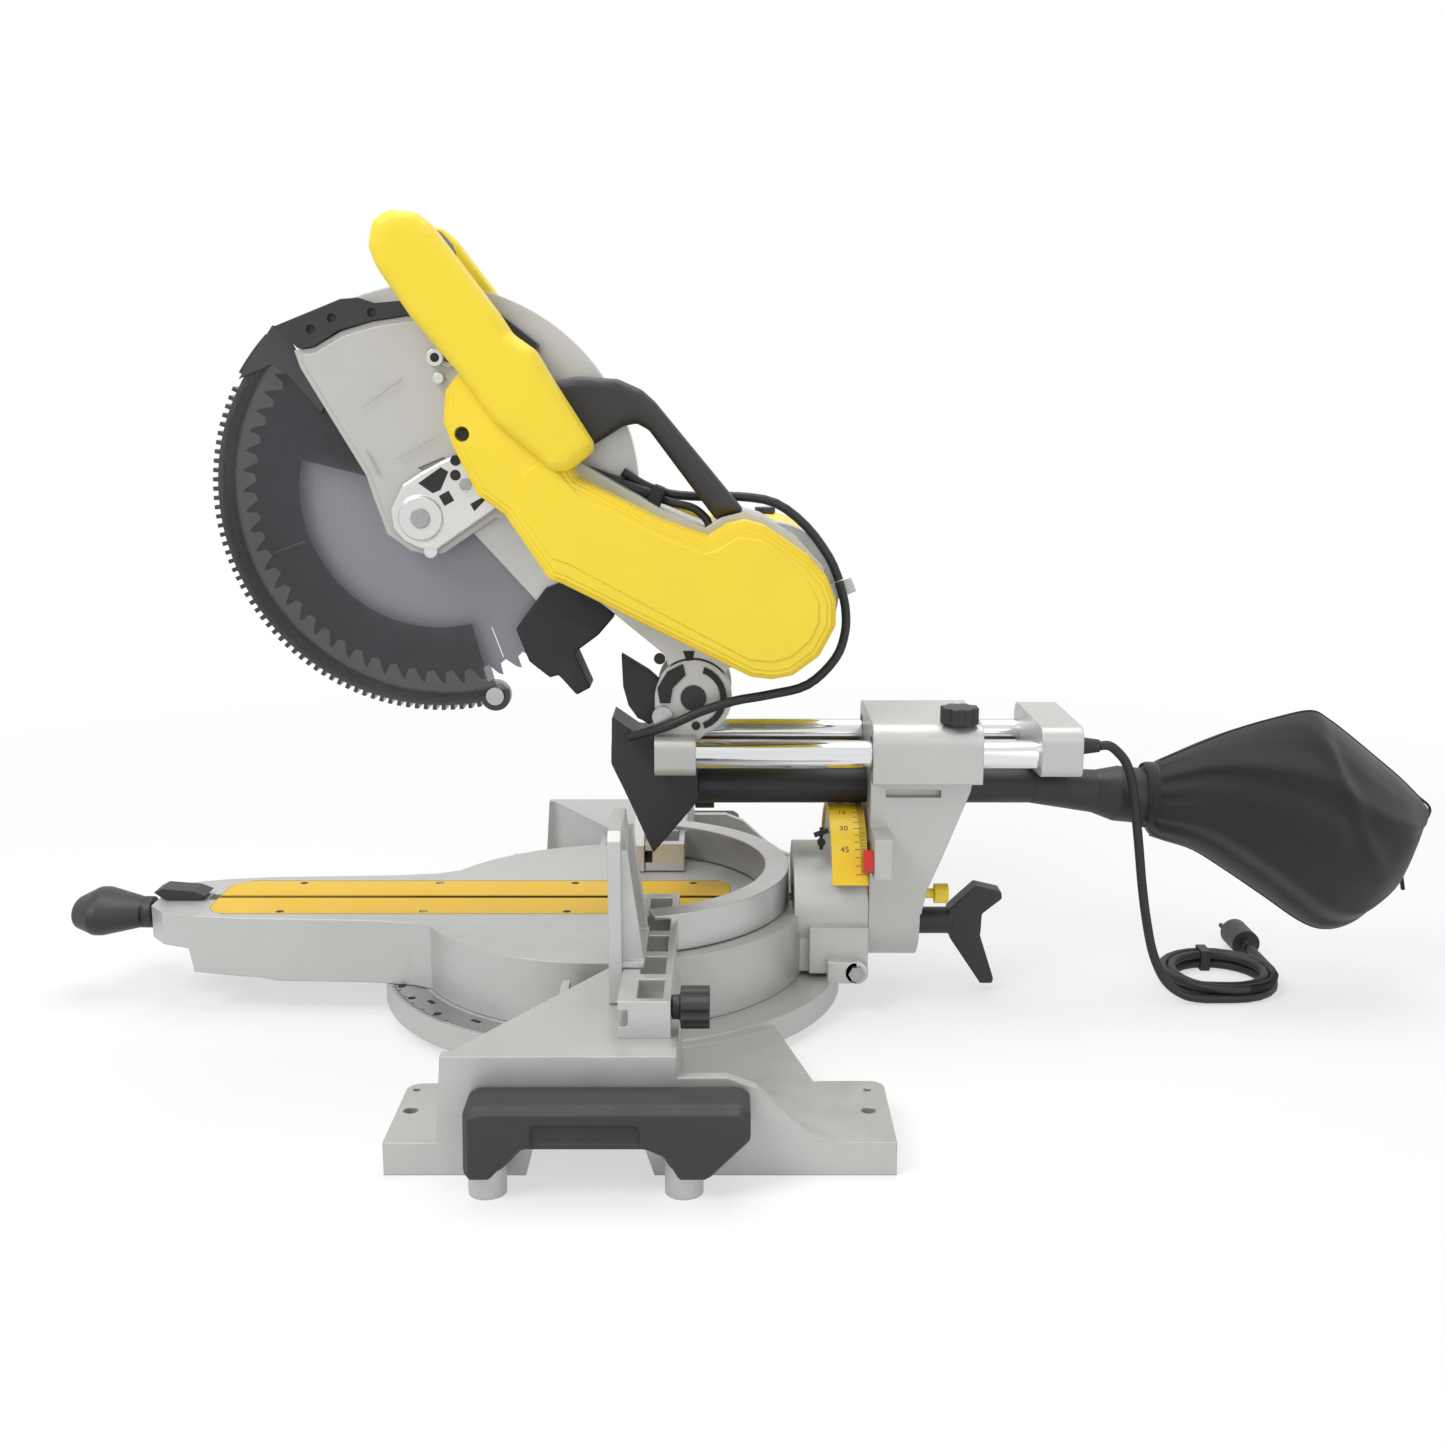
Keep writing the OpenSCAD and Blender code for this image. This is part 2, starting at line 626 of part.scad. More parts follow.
module lock_down_pin() {
    color([0.15, 0.15, 0.16]) {
        rod_x(cheek_x0 + 1, cheek_x1 + 4, hinge_y - 24, hinge_z - 14, 4);
        rod_x(cheek_x1 + gap, cheek_x1 + 6, hinge_y - 24, hinge_z - 14, 8);
    }
}

module rail_end_cap() {
    color([0.76, 0.77, 0.77]) difference() {
        xz(cap_y0, cap_y1) hull() for (s = [-1, 1]) {
            translate([s * (rail_x + 5), rail_z + 12]) circle(12, $fn = 32);
            translate([s * (rail_x + 11), rail_z - 9]) circle(6, $fn = 24);
        }
        for (x = [-rail_x, rail_x]) rod_y(cap_y0 - 1, cap_y0 + 22 + gap, x, rail_z, rail_r + 0.02);
        rod_y(cap_y1 - 8 - gap, cap_y1 + 1, 30, rail_z + 4, 6 + gap);
    }
}

module dust_funnel() {
    color([0.1, 0.1, 0.11]) difference() {
        yz(-24, 24) polygon([[-33, hinge_z - 18], [-13, rail_z + 12], [1.6, rail_z + 12], [1.6, rail_z - 15.4],
            [35, rail_z - 15.4], [35, pipe_z - 8], [21, pipe_z - 25], [-1, table_z + 44], [-21, pipe_z - 5],
            [-34, pipe_z + 23]]);
        // mouth open to the front and down to the tip
        yz(-20, 20) polygon([[-40, hinge_z - 30], [-16, rail_z + 8], [-4, rail_z + 8], [-2, rail_z - 12],
            [12, pipe_z + 8], [12, pipe_z - 14], [-2, table_z + 54], [-30, pipe_z - 20]]);
        rod_y(0, 36, 0, pipe_z, pipe_r - 2.5);
    }
}

pipe_drop = 10;
pipe_wall = 2.5;
elbow_y = 306;
port_r = pipe_r + 8;
port_len = 98;
port_tilt = atan(pipe_drop / port_len);

// The pipe's outer shape, or with less radius its bore: a straight run and a flared, dropping end
module pipe_shape(less) {
    rod_y(35 + gap - less, elbow_y + 4, 0, pipe_z, pipe_r - less);
    translate([0, elbow_y, pipe_z]) rotate([-90 - port_tilt, 0, 0]) rotate_extrude()
        polygon([[0, 0], [pipe_r + 0.3 - less, 0], [pipe_r + 3 - less, 50], [port_r - less, 68],
            [port_r - less, port_len + less], [0, port_len + less]]);
}

module dust_pipe() {
    color([0.12, 0.12, 0.13]) difference() {
        union() {
            pipe_shape(0);
            // saddle under the end cap
            block([-8, cap_y0 + 4, pipe_z + 8], [8, cap_y0 + 18, rail_z - 15 - gap]);
        }
        pipe_shape(pipe_wall);
    }
}

// Filled dust bag, clamped over the pipe's end
module dust_bag() {
    color([0.08, 0.08, 0.09]) hull() {
        translate([0, elbow_y, pipe_z]) rotate([-90 - port_tilt, 0, 0]) translate([0, 0, port_len + gap])
            cylinder(h = 2, r = port_r + 1, $fn = 32);
        rod_x(-44, 44, 528, pipe_z + 40, 20, $fn = 24);
        rod_x(-60, 60, 500, pipe_z - 20, 30, $fn = 24);
        rod_x(-40, 40, 556, pipe_z - 102, 18, $fn = 24);
        rod_x(-34, 34, 616, pipe_z - 24, 16, $fn = 24);
    }
}

// ---- cord ------------------------------------------------------------------------------------

cord_r = 3.75;
// route of the cord from the end cap down to the bench and along to the coil
cord_route = [[30, 352.6, 214], [30, 360, 214], [30, 367, 209], [31, 374, 200], [32, 379, 185], [33, 383, 160],
    [34, 387, 130], [34, 391, 100], [35, 396, 70], [35, 403, 42], [36, 414, 20], [36, 430, 8], [36, 447, 5]];
coil_x = -9;
coil_y = 470;
coil_in = 33.6;
coil_out = 49;
coil_z0 = 1.1;
coil_z1 = 16.6;
plug_x = -74;
plug_boss = 10;

module cord_relief() {
    color([0.1, 0.1, 0.1]) {
        rod_y(cap_y1 - 8, cap_y1 + 2, 30, rail_z + 4, 6);
        translate([30, cap_y1 + 1, rail_z + 4]) rotate([-90, 0, 0]) cylinder(h = 18, r1 = 7.5, r2 = 5);
    }
}

module power_cord() {
    color([0.09, 0.09, 0.09]) tube_along(smooth(cord_route, 4), cord_r, 8);
}

// Outer shape of the coiled cord, four turns side by side in two layers, and its tail to the plug
module cord_coil() {
    color([0.09, 0.09, 0.09]) {
        translate([coil_x, coil_y, 0]) difference() {
            rod_z(coil_z0, coil_z1, 0, 0, coil_out);
            rod_z(coil_z0 - 1, coil_z1 + 1, 0, 0, coil_in);
        }
        rod_x(plug_x + plug_boss, coil_x - 20, coil_y + coil_out - 4, 12.5, cord_r);
    }
}

// Strap round the coil's turns
module cord_tie() {
    color([0.2, 0.2, 0.2]) translate([coil_x, coil_y, 0]) difference() {
        block([-coil_out - 1.3, -4, 0.1], [-coil_in + 1.3, 4, coil_z1 + 1]);
        block([-coil_out - gap, -5, coil_z0 - gap], [-coil_in + gap, 5, coil_z1 + gap]);
    }
}

module cord_plug() {
    color([0.1, 0.1, 0.1]) {
        rod_x(plug_x - 34, plug_x, coil_y + 45, 12.5, 12);
        rod_x(plug_x - 0.5, plug_x + plug_boss, coil_y + 45, 12.5, 5);
        for (dy = [-6, 6]) rod_x(plug_x - 52, plug_x - 33, coil_y + 45 + dy, 12.5, 2.2);
    }
}

// ---- head ------------------------------------------------------------------------------------

// Side view of the belt cover: a bone shape round both pulleys
module belt_outline() {
    polygon([[-138, blade_z + 90], [-148, blade_z + 77], [-150, blade_z + 55], [-144, blade_z + 38],
        [-127, blade_z + 2], [-107, blade_z - 13], [-75, blade_z - 61], [-66, blade_z - 64],
        [76, motor_z - 56], [92, motor_z - 58], [108, motor_z - 55], [128, motor_z - 40], [140, motor_z - 17],
        [140, motor_z + 2], [134, motor_z + 18], [120, motor_z + 34], [86, motor_z + 57], [72, motor_z + 61],
        [58, motor_z + 58], [44, motor_z + 49], [10, motor_z + 61], [-53, blade_z + 14], [-84, blade_z + 62],
        [-112, blade_z + 92]]);
}

module arm_outline() {
    polygon([[-78, blade_z + 40], [-78, blade_z - 50], [-66, blade_z - 60], [10, hinge_z + 34], [20, hinge_z],
        [hinge_y, hinge_z - 24], [48, hinge_z], [60, motor_z - 54],
        [92, motor_z - 56], [126, motor_z - 38], [138, motor_z - 10], [132, motor_z + 24], [112, motor_z + 46],
        [84, motor_z + 62], [70, motor_z + 66], [54, motor_z + 62], [42, motor_z + 54], [10, motor_z + 67],
        [-50, blade_z + 22]]);
}

module at_blade() { translate([blade_y, blade_z]) children(); }

head_x1 = 38.5;
cover_x1 = 75;
cover_screws = [[-136, blade_z + 46], [-87, blade_z + 3], [110, motor_z - 21]];

module head_arm() {
    color([0.7, 0.71, 0.71]) difference() {
        union() {
            yz(17, head_x1) arm_outline();
            yz(-24, 17) intersection() {
                arm_outline();
                difference() { square(2000, center = true); at_blade() circle(blade_r + 5.2, $fn = 128); }
            }
            rod_x(-25, 25, hinge_y, hinge_z, 26);
            // motor flange
            rod_x(-24, 0, motor_y, motor_z, motor_r + 3);
            // hook for the cable at the rear
            yz(2, 8) polygon([[128, motor_z + 4], [156, motor_z + 12], [160, motor_z + 2], [136, motor_z - 8]]);
        }
        rod_x(-50, 50, hinge_y, hinge_z, hinge_r + fit);
        rod_x(25.4, 50, hinge_y, hinge_z, 31.5);
        mirror([1, 0, 0]) rod_x(25.4, 50, hinge_y, hinge_z, 31.5);
        rod_x(-30, 50, motor_y, motor_z, 14);
        rod_x(-30, -8, motor_y, motor_z, 46);
        // cavity of the lift spring
        rod_x(-9, 9, hinge_y, hinge_z, 16);
    }
}

module case_outline() {
    polygon([[-266, blade_z + 107], [-251, blade_z + 109], [-230, blade_z + 121], [-206, blade_z + 128],
        [-180, blade_z + 132], [-140, blade_z + 134], [-100, blade_z + 118], [-78.3, blade_z + 96], [-78.3, blade_z - 26],
        [-119, blade_z - 18], [-158, blade_z - 44], [-168, blade_z - 47], [-184, blade_z - 43], [-202, blade_z - 30],
        [-212, blade_z], [-216, blade_z + 14], [-262, blade_z + 94]]);
}

gear_hub_r = 30;
button_y = -122;
button_z = blade_z + 106;

module gear_case() {
    color([0.72, 0.71, 0.69]) difference() {
        union() {
            yz(19, 34) case_outline();
            yz(34, 36) offset(delta = -4) case_outline();
            // hub that carries the upper and lower guards
            rod_x(10, 20, blade_y, blade_z, gear_hub_r);
            rod_x(34, 38, blade_y - 6, blade_z - 20, 9);
            rod_x(34, 39, -150, blade_z + 102, 8);
            // pad that meets the arm
            yz(17.2, 36) polygon([[-100, blade_z + 30], [-100, blade_z - 14], [-78.3, blade_z - 14], [-78.3, blade_z + 30]]);
        }
        // gear cavity and bores
        rod_x(20.5, 32, blade_y, blade_z, spindle_sprocket_r + case_belt_t + 1);
        rod_x(20.5, 32, lay_y, lay_z, sprocket_r + case_belt_t + 1);
        yz(20.5, 32) hull() {
            at_blade() circle(spindle_sprocket_r + case_belt_t + 1, $fn = 32);
            translate([lay_y, lay_z]) circle(sprocket_r + case_belt_t + 1, $fn = 32);
        }
        rod_x(0, 60, blade_y, blade_z, 10 + fit);
        rod_x(30, 60, lay_y, lay_z, 8 + fit);
        // sunk pockets in the face
        yz(33, 50) polygon([[-176, blade_z + 20], [-156, blade_z + 28], [-156, blade_z + 8]]);
        rod_x(33, 50, -156, blade_z - 6, 4.5);
        rod_x(33, 50, -150, blade_z + 102, 4);
        rod_x(24, 50, button_y, button_z, 6 + fit);
    }
}

// Fixed guard over the top and back of the blade
module upper_guard() {
    rim = blade_r + 5;
    color([0.76, 0.77, 0.77]) difference() {
        yz(-12, 9.7) at_blade() ring_part(21, rim, -48, 118);
        // the blade's room, and the open middle of the far side
        yz(-10, 7.6) at_blade() circle(rim - 2.6, $fn = 128);
        yz(-13, 7.6) at_blade() circle(blade_r - 46, $fn = 128);
    }
}

// Black cover over the link that lifts the lower guard
module guard_link_cover() {
    color([0.12, 0.12, 0.13]) difference() {
        union() {
            yz(20, 37) polygon([[-280, blade_z + 124], [-229, blade_z + 144], [-216, blade_z + 145],
                [-204, blade_z + 141], [-182, blade_z + 143], [-140, blade_z + 145], [-112, blade_z + 134],
                [-84, blade_z + 112], [-84, blade_z + 104], [-101, blade_z + 119.5], [-140, blade_z + 134.5],
                [-180, blade_z + 132.5], [-206, blade_z + 128.5], [-231, blade_z + 121.5],
                [-251, blade_z + 109.5], [-262, blade_z + 108]]);
        }
        for (p = [[-252, 122], [-236, 130], [-206, 134]]) rod_x(34, 40, p[0], blade_z + p[1], 3.4);
    }
}

module belt_cover() {
    color([0.96, 0.8, 0.12]) difference() {
        union() {
            difference() {
                soft_plate(head_x1 + gap, cover_x1, 9, 4) offset(r = 6, $fn = 24) offset(delta = -6) belt_outline();
                yz(head_x1, cover_x1 - 4) offset(delta = -3.5) belt_outline();
            }
            for (p = cover_screws) rod_x(cover_x1 - 8, cover_x1 - 3, p[0], p[1], 8);
        }
        for (p = cover_screws) rod_x(cover_x1 - 6, cover_x1 + 1, p[0], p[1], 5.5);
    }
}

// Bar of the loop handle in side view
module handle_bar() {
    polygon([[-198, hand_z - 12], [-194, hand_z + 6], [-182, hand_z + 13], [-164, hand_z + 12], [-154, hand_z + 3],
        [-108, blade_z + 132], [-99, blade_z + 118], [-82, blade_z + 106], [-68, blade_z + 82], [-40, blade_z + 38],
        [-42, blade_z + 32], [-58, blade_z + 19], [-70, blade_z + 19], [-88, blade_z + 35], [-112, blade_z + 55],
        [-138, blade_z + 91], [-169, blade_z + 128], [-193, hand_z - 26]]);
}

module main_handle() {
    color([0.97, 0.81, 0.14]) difference() {
        union() {
            soft_plate(48, 88, 12, 4) offset(r = 8, $fn = 24) offset(delta = -8) handle_bar();
            yz(-56, -30) offset(r = 8, $fn = 24) offset(delta = -8) handle_bar();
            rod_x(-40, 60, hand_y, hand_z - 4, 17);
            // strut from the far leg to the motor housing
            yz(-54, -31) polygon([[-70, blade_z + 20], [-66, blade_z + 40], [-42, blade_z + 34],
                [-10, blade_z - 3], [motor_y - 20, motor_z + 49], [motor_y - 30, motor_z + 20],
                [-30, blade_z - 20]]);
        }
        // clear of the belt cover, the castings and the moving guard
        yz(head_x1 - 3, cover_x1 + gap) offset(delta = gap) belt_outline();
        yz(16, head_x1 + gap) offset(delta = gap) arm_outline();
        yz(16, 38) offset(delta = gap) case_outline();
        yz(-25, 18) at_blade() circle(guard_r + 6.5, $fn = 128);
        yz(16, 40) at_blade() circle(guard_r - 10, $fn = 128);
        yz(18 - gap, 42 + gap) offset(delta = gap) carry_outline();
        rod_x(-57, -30, motor_y, motor_z, motor_r + gap);
        // pocket of the trigger
        block([1, trigger_y - 5, hand_z - 14], [41, -150, hand_z + 10]);
        rod_x(-4 - gap, 46 + gap, trigger_y, trigger_z, 2.5 + fit);
    }
}

// Finger switch, hinged on a pin inside the handle's grip
module trigger() {
    color([0.1, 0.1, 0.11]) {
        yz(2, 40) polygon([[-163, hand_z + 3], [-158, hand_z + 5], [-150, hand_z - 4], [-147, hand_z - 11],
            [-151, hand_z - 14], [-158, hand_z - 6]]);
        rod_x(-4, 46, trigger_y, trigger_z, 2.5);
        rod_x(2, 40, trigger_y, trigger_z, 4);
    }
}

module carry_outline() {
    difference() {
        offset(r = 5, $fn = 24) offset(delta = -5) polygon([[-77, blade_z + 70], [-74, blade_z + 84], [-54, blade_z + 88],
            [-24, blade_z + 86], [-6, blade_z + 78], [4, blade_z + 69], [72, blade_z - 13], [56, blade_z - 28],
            [-1, blade_z + 48], [-10, blade_z + 53], [-20, blade_z + 51], [-48, blade_z + 34]]);
        offset(delta = gap) arm_outline();
    }
}

// Round bar over the arm, by which the saw is carried
module carry_handle() {
    color([0.1, 0.1, 0.11]) {
        soft_plate(30, 42, 8) carry_outline();
        translate([60, 0, 0]) mirror([1, 0, 0]) soft_plate(30, 42, 8) carry_outline();
    }
}

module dust_chute() {
    color([0.09, 0.09, 0.1]) difference() {
        yz(-20, 16.7) polygon([[-52, blade_z - 62], [-84, blade_z - 74], [-108, blade_z - 106], [-98, blade_z - 132],
            [-82, blade_z - 145], [-75, blade_z - 143], [-61, blade_z - 159], [-50, blade_z - 153],
            [-62, blade_z - 125], [-43, blade_z - 111], [-30, blade_z - 96]]);
        yz(-12 - gap, 10 + gap) at_blade() circle(blade_r + 5 + gap, $fn = 96);
    }
}

// ---- drive -----------------------------------------------------------------------------------

motor_x0 = -24 - gap - motor_len;

module motor_housing() {
    color([0.93, 0.76, 0.12]) difference() {
        rod_x(motor_x0, -24 - gap, motor_y, motor_z, motor_r);
        rod_x(motor_x0 - 1, -24, motor_y, motor_z, motor_r - 4);
    }
}

module motor_end_cap() {
    color([0.12, 0.12, 0.13]) difference() {
        union() {
            rod_x(motor_x0 - 14, motor_x0 - gap, motor_y, motor_z, motor_r - 1);
            rod_x(motor_x0 - gap - 1, motor_x0 + 10, motor_y, motor_z, 14);
        }
        rod_x(motor_x0 - 4, motor_x0 + 11, motor_y, motor_z, 9);
        for (a = [0 : 30 : 330]) translate([0, motor_y, motor_z]) rotate([a, 0, 0])
            block([motor_x0 - 15, -2.5, 20], [motor_x0 - 6, 2.5, 42]);
    }
}

module brush_caps() {
    color([0.08, 0.08, 0.08]) for (s = [-1, 1]) translate([motor_x0 + 24, motor_y, motor_z + s * (motor_r + gap)])
        mirror([0, 0, s < 0 ? 1 : 0]) cylinder(h = 5, r = 9);
}

module stator() {
    color([0.5, 0.35, 0.2]) difference() {
        rod_x(motor_x0 + 40, motor_x0 + 110, motor_y, motor_z, motor_r - 4 - gap);
        rod_x(motor_x0 + 39, motor_x0 + 111, motor_y, motor_z, 30);
    }
}

module armature() {
    color([0.6, 0.45, 0.3]) {
        rod_x(motor_x0 - 3, 66, motor_y, motor_z, 8);
        rod_x(motor_x0 + 42, motor_x0 + 108, motor_y, motor_z, 29);
        rod_x(motor_x0 + 14, motor_x0 + 34, motor_y, motor_z, 17);
        rod_x(motor_x0 + 118, motor_x0 + 128, motor_y, motor_z, 42);
        // toothed pulley
        difference() {
            rod_x(46, 64, motor_y, motor_z, motor_pulley_r);
            for (a = [0 : 30 : 330]) translate([0, motor_y, motor_z]) rotate([a, 0, 0])
                block([48, -1.5, motor_pulley_r - 1.6], [62, 1.5, motor_pulley_r + 1]);
        }
    }
}

// Flat belt round two pulleys, in the YZ plane
module belt_loop(c0, r0, c1, r1, t) {
    difference() {
        hull() {
            translate(c0) circle(r0 + t, $fn = 48);
            translate(c1) circle(r1 + t, $fn = 48);
        }
        hull() {
            translate(c0) circle(r0 + gap, $fn = 48);
            translate(c1) circle(r1 + gap, $fn = 48);
        }
    }
}

module drive_belts() {
    color([0.08, 0.08, 0.08]) {
        yz(49, 61) belt_loop([motor_y, motor_z], motor_pulley_r, [lay_y, lay_z], lay_pulley_r, belt_t);
        yz(22, 30)
            belt_loop([lay_y, lay_z], sprocket_r, [blade_y, blade_z], spindle_sprocket_r, case_belt_t);
    }
}

// Shaft between the belts: the drive belt's pulley outside, the case belt's inside
module layshaft() {
    color([0.55, 0.56, 0.58]) {
        rod_x(21.5, 66, lay_y, lay_z, 8);
        rod_x(46, 64, lay_y, lay_z, lay_pulley_r);
        rod_x(21.5, 30.5, lay_y, lay_z, sprocket_r);
    }
}

module spindle() {
    color([0.55, 0.56, 0.58]) {
        rod_x(-blade_t / 2 - 4, 34, blade_y, blade_z, 10);
        rod_x(21.5, 30.5, blade_y, blade_z, spindle_sprocket_r);
        // inner and outer clamp flanges and the blade bolt
        rod_x(blade_t / 2, 6, blade_y, blade_z, 24);
        rod_x(-blade_t / 2 - 5, -blade_t / 2, blade_y, blade_z, 24);
        translate([-blade_t / 2 - 12, blade_y, blade_z]) rotate([0, 90, 0]) cylinder(h = 8, r = 9, $fn = 6);
    }
}

// Outline of one tooth, as shares of the pitch and depths below the tips: face, gullet and back
tooth_form = [[0, 0], [0.06, -9], [0.42, -11], [0.8, -2.4]];

module blade() {
    pitch = 360 / blade_teeth;
    color([0.72, 0.73, 0.75]) yz(-blade_t / 2, blade_t / 2) at_blade() difference() {
        polygon([for (i = [0 : blade_teeth - 1], p = tooth_form) let (a = (i + p[0]) * pitch)
            (blade_r + p[1]) * [cos(a), sin(a)]]);
        circle(10 + fit);
        for (a = [20 : 90 : 290]) rotate(a) translate([blade_r - 26, 0]) square([26, 1], center = true);
    }
}

module lower_guard() {
    x1 = 16;
    color([0.3, 0.3, 0.32, 0.7]) difference() {
        union() {
            yz(-x1, x1) at_blade() ring_part(guard_r - 3, guard_r, 139, 284);
            for (x = [-x1, x1 - 2.5]) yz(x, x + 2.5) at_blade() ring_part(105, guard_r - 1, 139, 284);
            // arm and ring that turn on the gear case hub
            yz(x1 - 2.5, x1) at_blade() {
                ring_part(gear_hub_r - 4, gear_hub_r + 7, 0, 360);
                ring_part(gear_hub_r + 2, 107, 141, 166);
            }
            // ribs round the rim
            for (i = [1 : guard_ribs]) yz(-x1, x1) at_blade() rotate(150 + 130 * i / guard_ribs)
                translate([guard_r + 1, 0]) square([6, 3.2], center = true);
            // lip at the upper end
            yz(-x1, x1) at_blade() ring_part(guard_r - 2, guard_r + 5, 136, 148);
            // boss of the roller
            rod_x(8, x1 + 1, blade_y + 165 * cos(-75), blade_z + 165 * sin(-75), 12);
        }
        rod_x(x1 - 5, x1 + 1, blade_y, blade_z, gear_hub_r + fit);
        rod_x(-30, 30, blade_y + 165 * cos(-75), blade_z + 165 * sin(-75), 5 + fit);
    }
}

module guard_roller() {
    color([0.8, 0.8, 0.82]) {
        rod_x(-12, 17.3, blade_y + 165 * cos(-75), blade_z + 165 * sin(-75), 5);
        rod_x(17.3, 20, blade_y + 165 * cos(-75), blade_z + 165 * sin(-75), 7);
    }
}

module spindle_lock_button() {
    color([0.1, 0.1, 0.11]) rod_x(29, 42, button_y, button_z, 6);
}

// Coil spring round the head pivot that lifts the head
module lift_spring() {
    color([0.3, 0.3, 0.32]) tube_along([for (a = [0 : 30 : 360 * 3]) [-7.5 + 15 * a / 1080,
        hinge_y + 12.4 * cos(a), hinge_z + 12.4 * sin(a)]], 1.6, 6);
}

cable_r = 3.6;
cable_route = [[16, -22, blade_z + 16], [13, -6, blade_z + 6], [12, 14, blade_z - 1], [12, 40, blade_z - 3],
    [12, 68, blade_z - 3], [12, 96, blade_z - 8], [12, 120, blade_z - 26], [12, 138, blade_z - 50],
    [12, 146, blade_z - 68]];
loop_route = [[12, 146, blade_z - 69], [14, 151, blade_z - 88], [18, 151, blade_z - 108], [26, 143, blade_z - 128],
    [36, 121, blade_z - 147], [46, 91, blade_z - 153], [51, 64, blade_z - 157], [53, 38, blade_z - 165],
    [51, 12, blade_z - 177], [38, -8, blade_z - 185], [28, -18, blade_z - 190]];

module head_cable() { color([0.09, 0.09, 0.09]) tube_along(smooth(cable_route, 3), cable_r, 8); }

module cable_loop() { color([0.09, 0.09, 0.09]) tube_along(smooth(loop_route, 3), cable_r, 8); }

// ---- drawing ---------------------------------------------------------------------------------

base_casting();
miter_detent_plate();
side_grips();
fixed_fence();
fence_bolts();
sliding_fence_right();
sliding_fence_left();
fence_knob_right();
fence_knob_left();
turntable();
kerf_plates();
kerf_screws();
miter_pivot_bolt();
miter_lock_handle();
miter_latch_lever();
bevel_scale();
bevel_pivot_bolt();
bevel_column();
bevel_pointers();
bevel_lock_lever();
bevel_stop_pin();
rail_bushes();
rail_lock_knob();
rails();
carriage();
rail_end_cap();
dust_funnel();
dust_pipe();
dust_bag();
hinge_pin();
lock_down_pin();
cord_relief();
power_cord();
cord_coil();
cord_tie();
cord_plug();
head_arm();
gear_case();
upper_guard();
guard_link_cover();
belt_cover();
main_handle();
carry_handle();
dust_chute();
motor_housing();
motor_end_cap();
brush_caps();
stator();
drive_belts();
spindle_lock_button();
lift_spring();
head_cable();
cable_loop();
trigger();
lower_guard();
guard_roller();
blade();
spindle();
layshaft();
armature();
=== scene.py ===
"""Sliding compound miter saw: finishes, dust bag, cords and studio."""
import math

import bmesh
import bpy
from mathutils import Matrix, Vector


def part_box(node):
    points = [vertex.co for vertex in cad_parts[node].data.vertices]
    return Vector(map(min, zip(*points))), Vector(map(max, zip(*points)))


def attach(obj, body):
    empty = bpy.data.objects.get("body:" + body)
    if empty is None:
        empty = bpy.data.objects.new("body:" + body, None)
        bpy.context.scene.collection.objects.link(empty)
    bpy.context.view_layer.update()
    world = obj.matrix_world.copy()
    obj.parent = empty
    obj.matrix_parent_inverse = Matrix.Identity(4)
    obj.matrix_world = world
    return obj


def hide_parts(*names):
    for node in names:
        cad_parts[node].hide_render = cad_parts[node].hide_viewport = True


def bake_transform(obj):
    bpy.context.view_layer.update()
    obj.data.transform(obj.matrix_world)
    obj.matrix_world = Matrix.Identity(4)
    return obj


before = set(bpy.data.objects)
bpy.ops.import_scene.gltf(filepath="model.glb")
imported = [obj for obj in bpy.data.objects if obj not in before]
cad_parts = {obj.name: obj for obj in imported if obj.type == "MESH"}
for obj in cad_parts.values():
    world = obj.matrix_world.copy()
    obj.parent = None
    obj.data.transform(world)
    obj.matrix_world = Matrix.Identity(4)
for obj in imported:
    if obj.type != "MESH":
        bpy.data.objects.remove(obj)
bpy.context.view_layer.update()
MM = 0.001


# ---- camera ----------------------------------------------------------------------------------


def set_camera():
    """A view along the fence from the operator's right, a little from above."""
    data = bpy.data.cameras.new("camera")
    data.lens = 39.41
    data.sensor_width = 36.0
    cam = bpy.data.objects.new("camera", data)
    cam.location = (1.25, 0.0547, 0.4814)
    cam.rotation_euler = (math.radians(78.48), 0.0, math.radians(90.0))
    bpy.context.scene.collection.objects.link(cam)
    bpy.context.scene.camera = cam


set_camera()


# ---- making helpers --------------------------------------------------------------------------


def new_object(name, data):
    """Links a new object for a mesh or curve."""
    obj = bpy.data.objects.new(name, data)
    bpy.context.scene.collection.objects.link(obj)
    return obj


def from_bmesh(name, bm, material=None, smooth=True):
    """Makes an object of a bmesh, with its faces turned outwards."""
    bmesh.ops.recalc_face_normals(bm, faces=bm.faces)
    mesh = bpy.data.meshes.new(name)
    bm.to_mesh(mesh)
    bm.free()
    for face in mesh.polygons:
        face.use_smooth = smooth
    if material:
        mesh.materials.append(material)
    return new_object(name, mesh)


def curve_tube(name, points, radius, material, resolution=10):
    """A round cord along points, as one smooth open spline."""
    data = bpy.data.curves.new(name, "CURVE")
    data.dimensions = "3D"
    data.bevel_depth = radius
    data.bevel_resolution = 4
    data.use_fill_caps = True
    data.resolution_u = resolution
    spline = data.splines.new("POLY")
    spline.points.add(len(points) - 1)
    for item, point in zip(spline.points, points):
        item.co = (*point, 1.0)
    data.materials.append(material)
    return new_object(name, data)


def baked_mesh(obj):
    """The mesh that an object shows, with its modifiers or its curve applied; the object itself goes."""
    bpy.context.view_layer.update()
    mesh = bpy.data.meshes.new_from_object(obj.evaluated_get(bpy.context.evaluated_depsgraph_get()))
    bpy.data.objects.remove(obj)
    return mesh


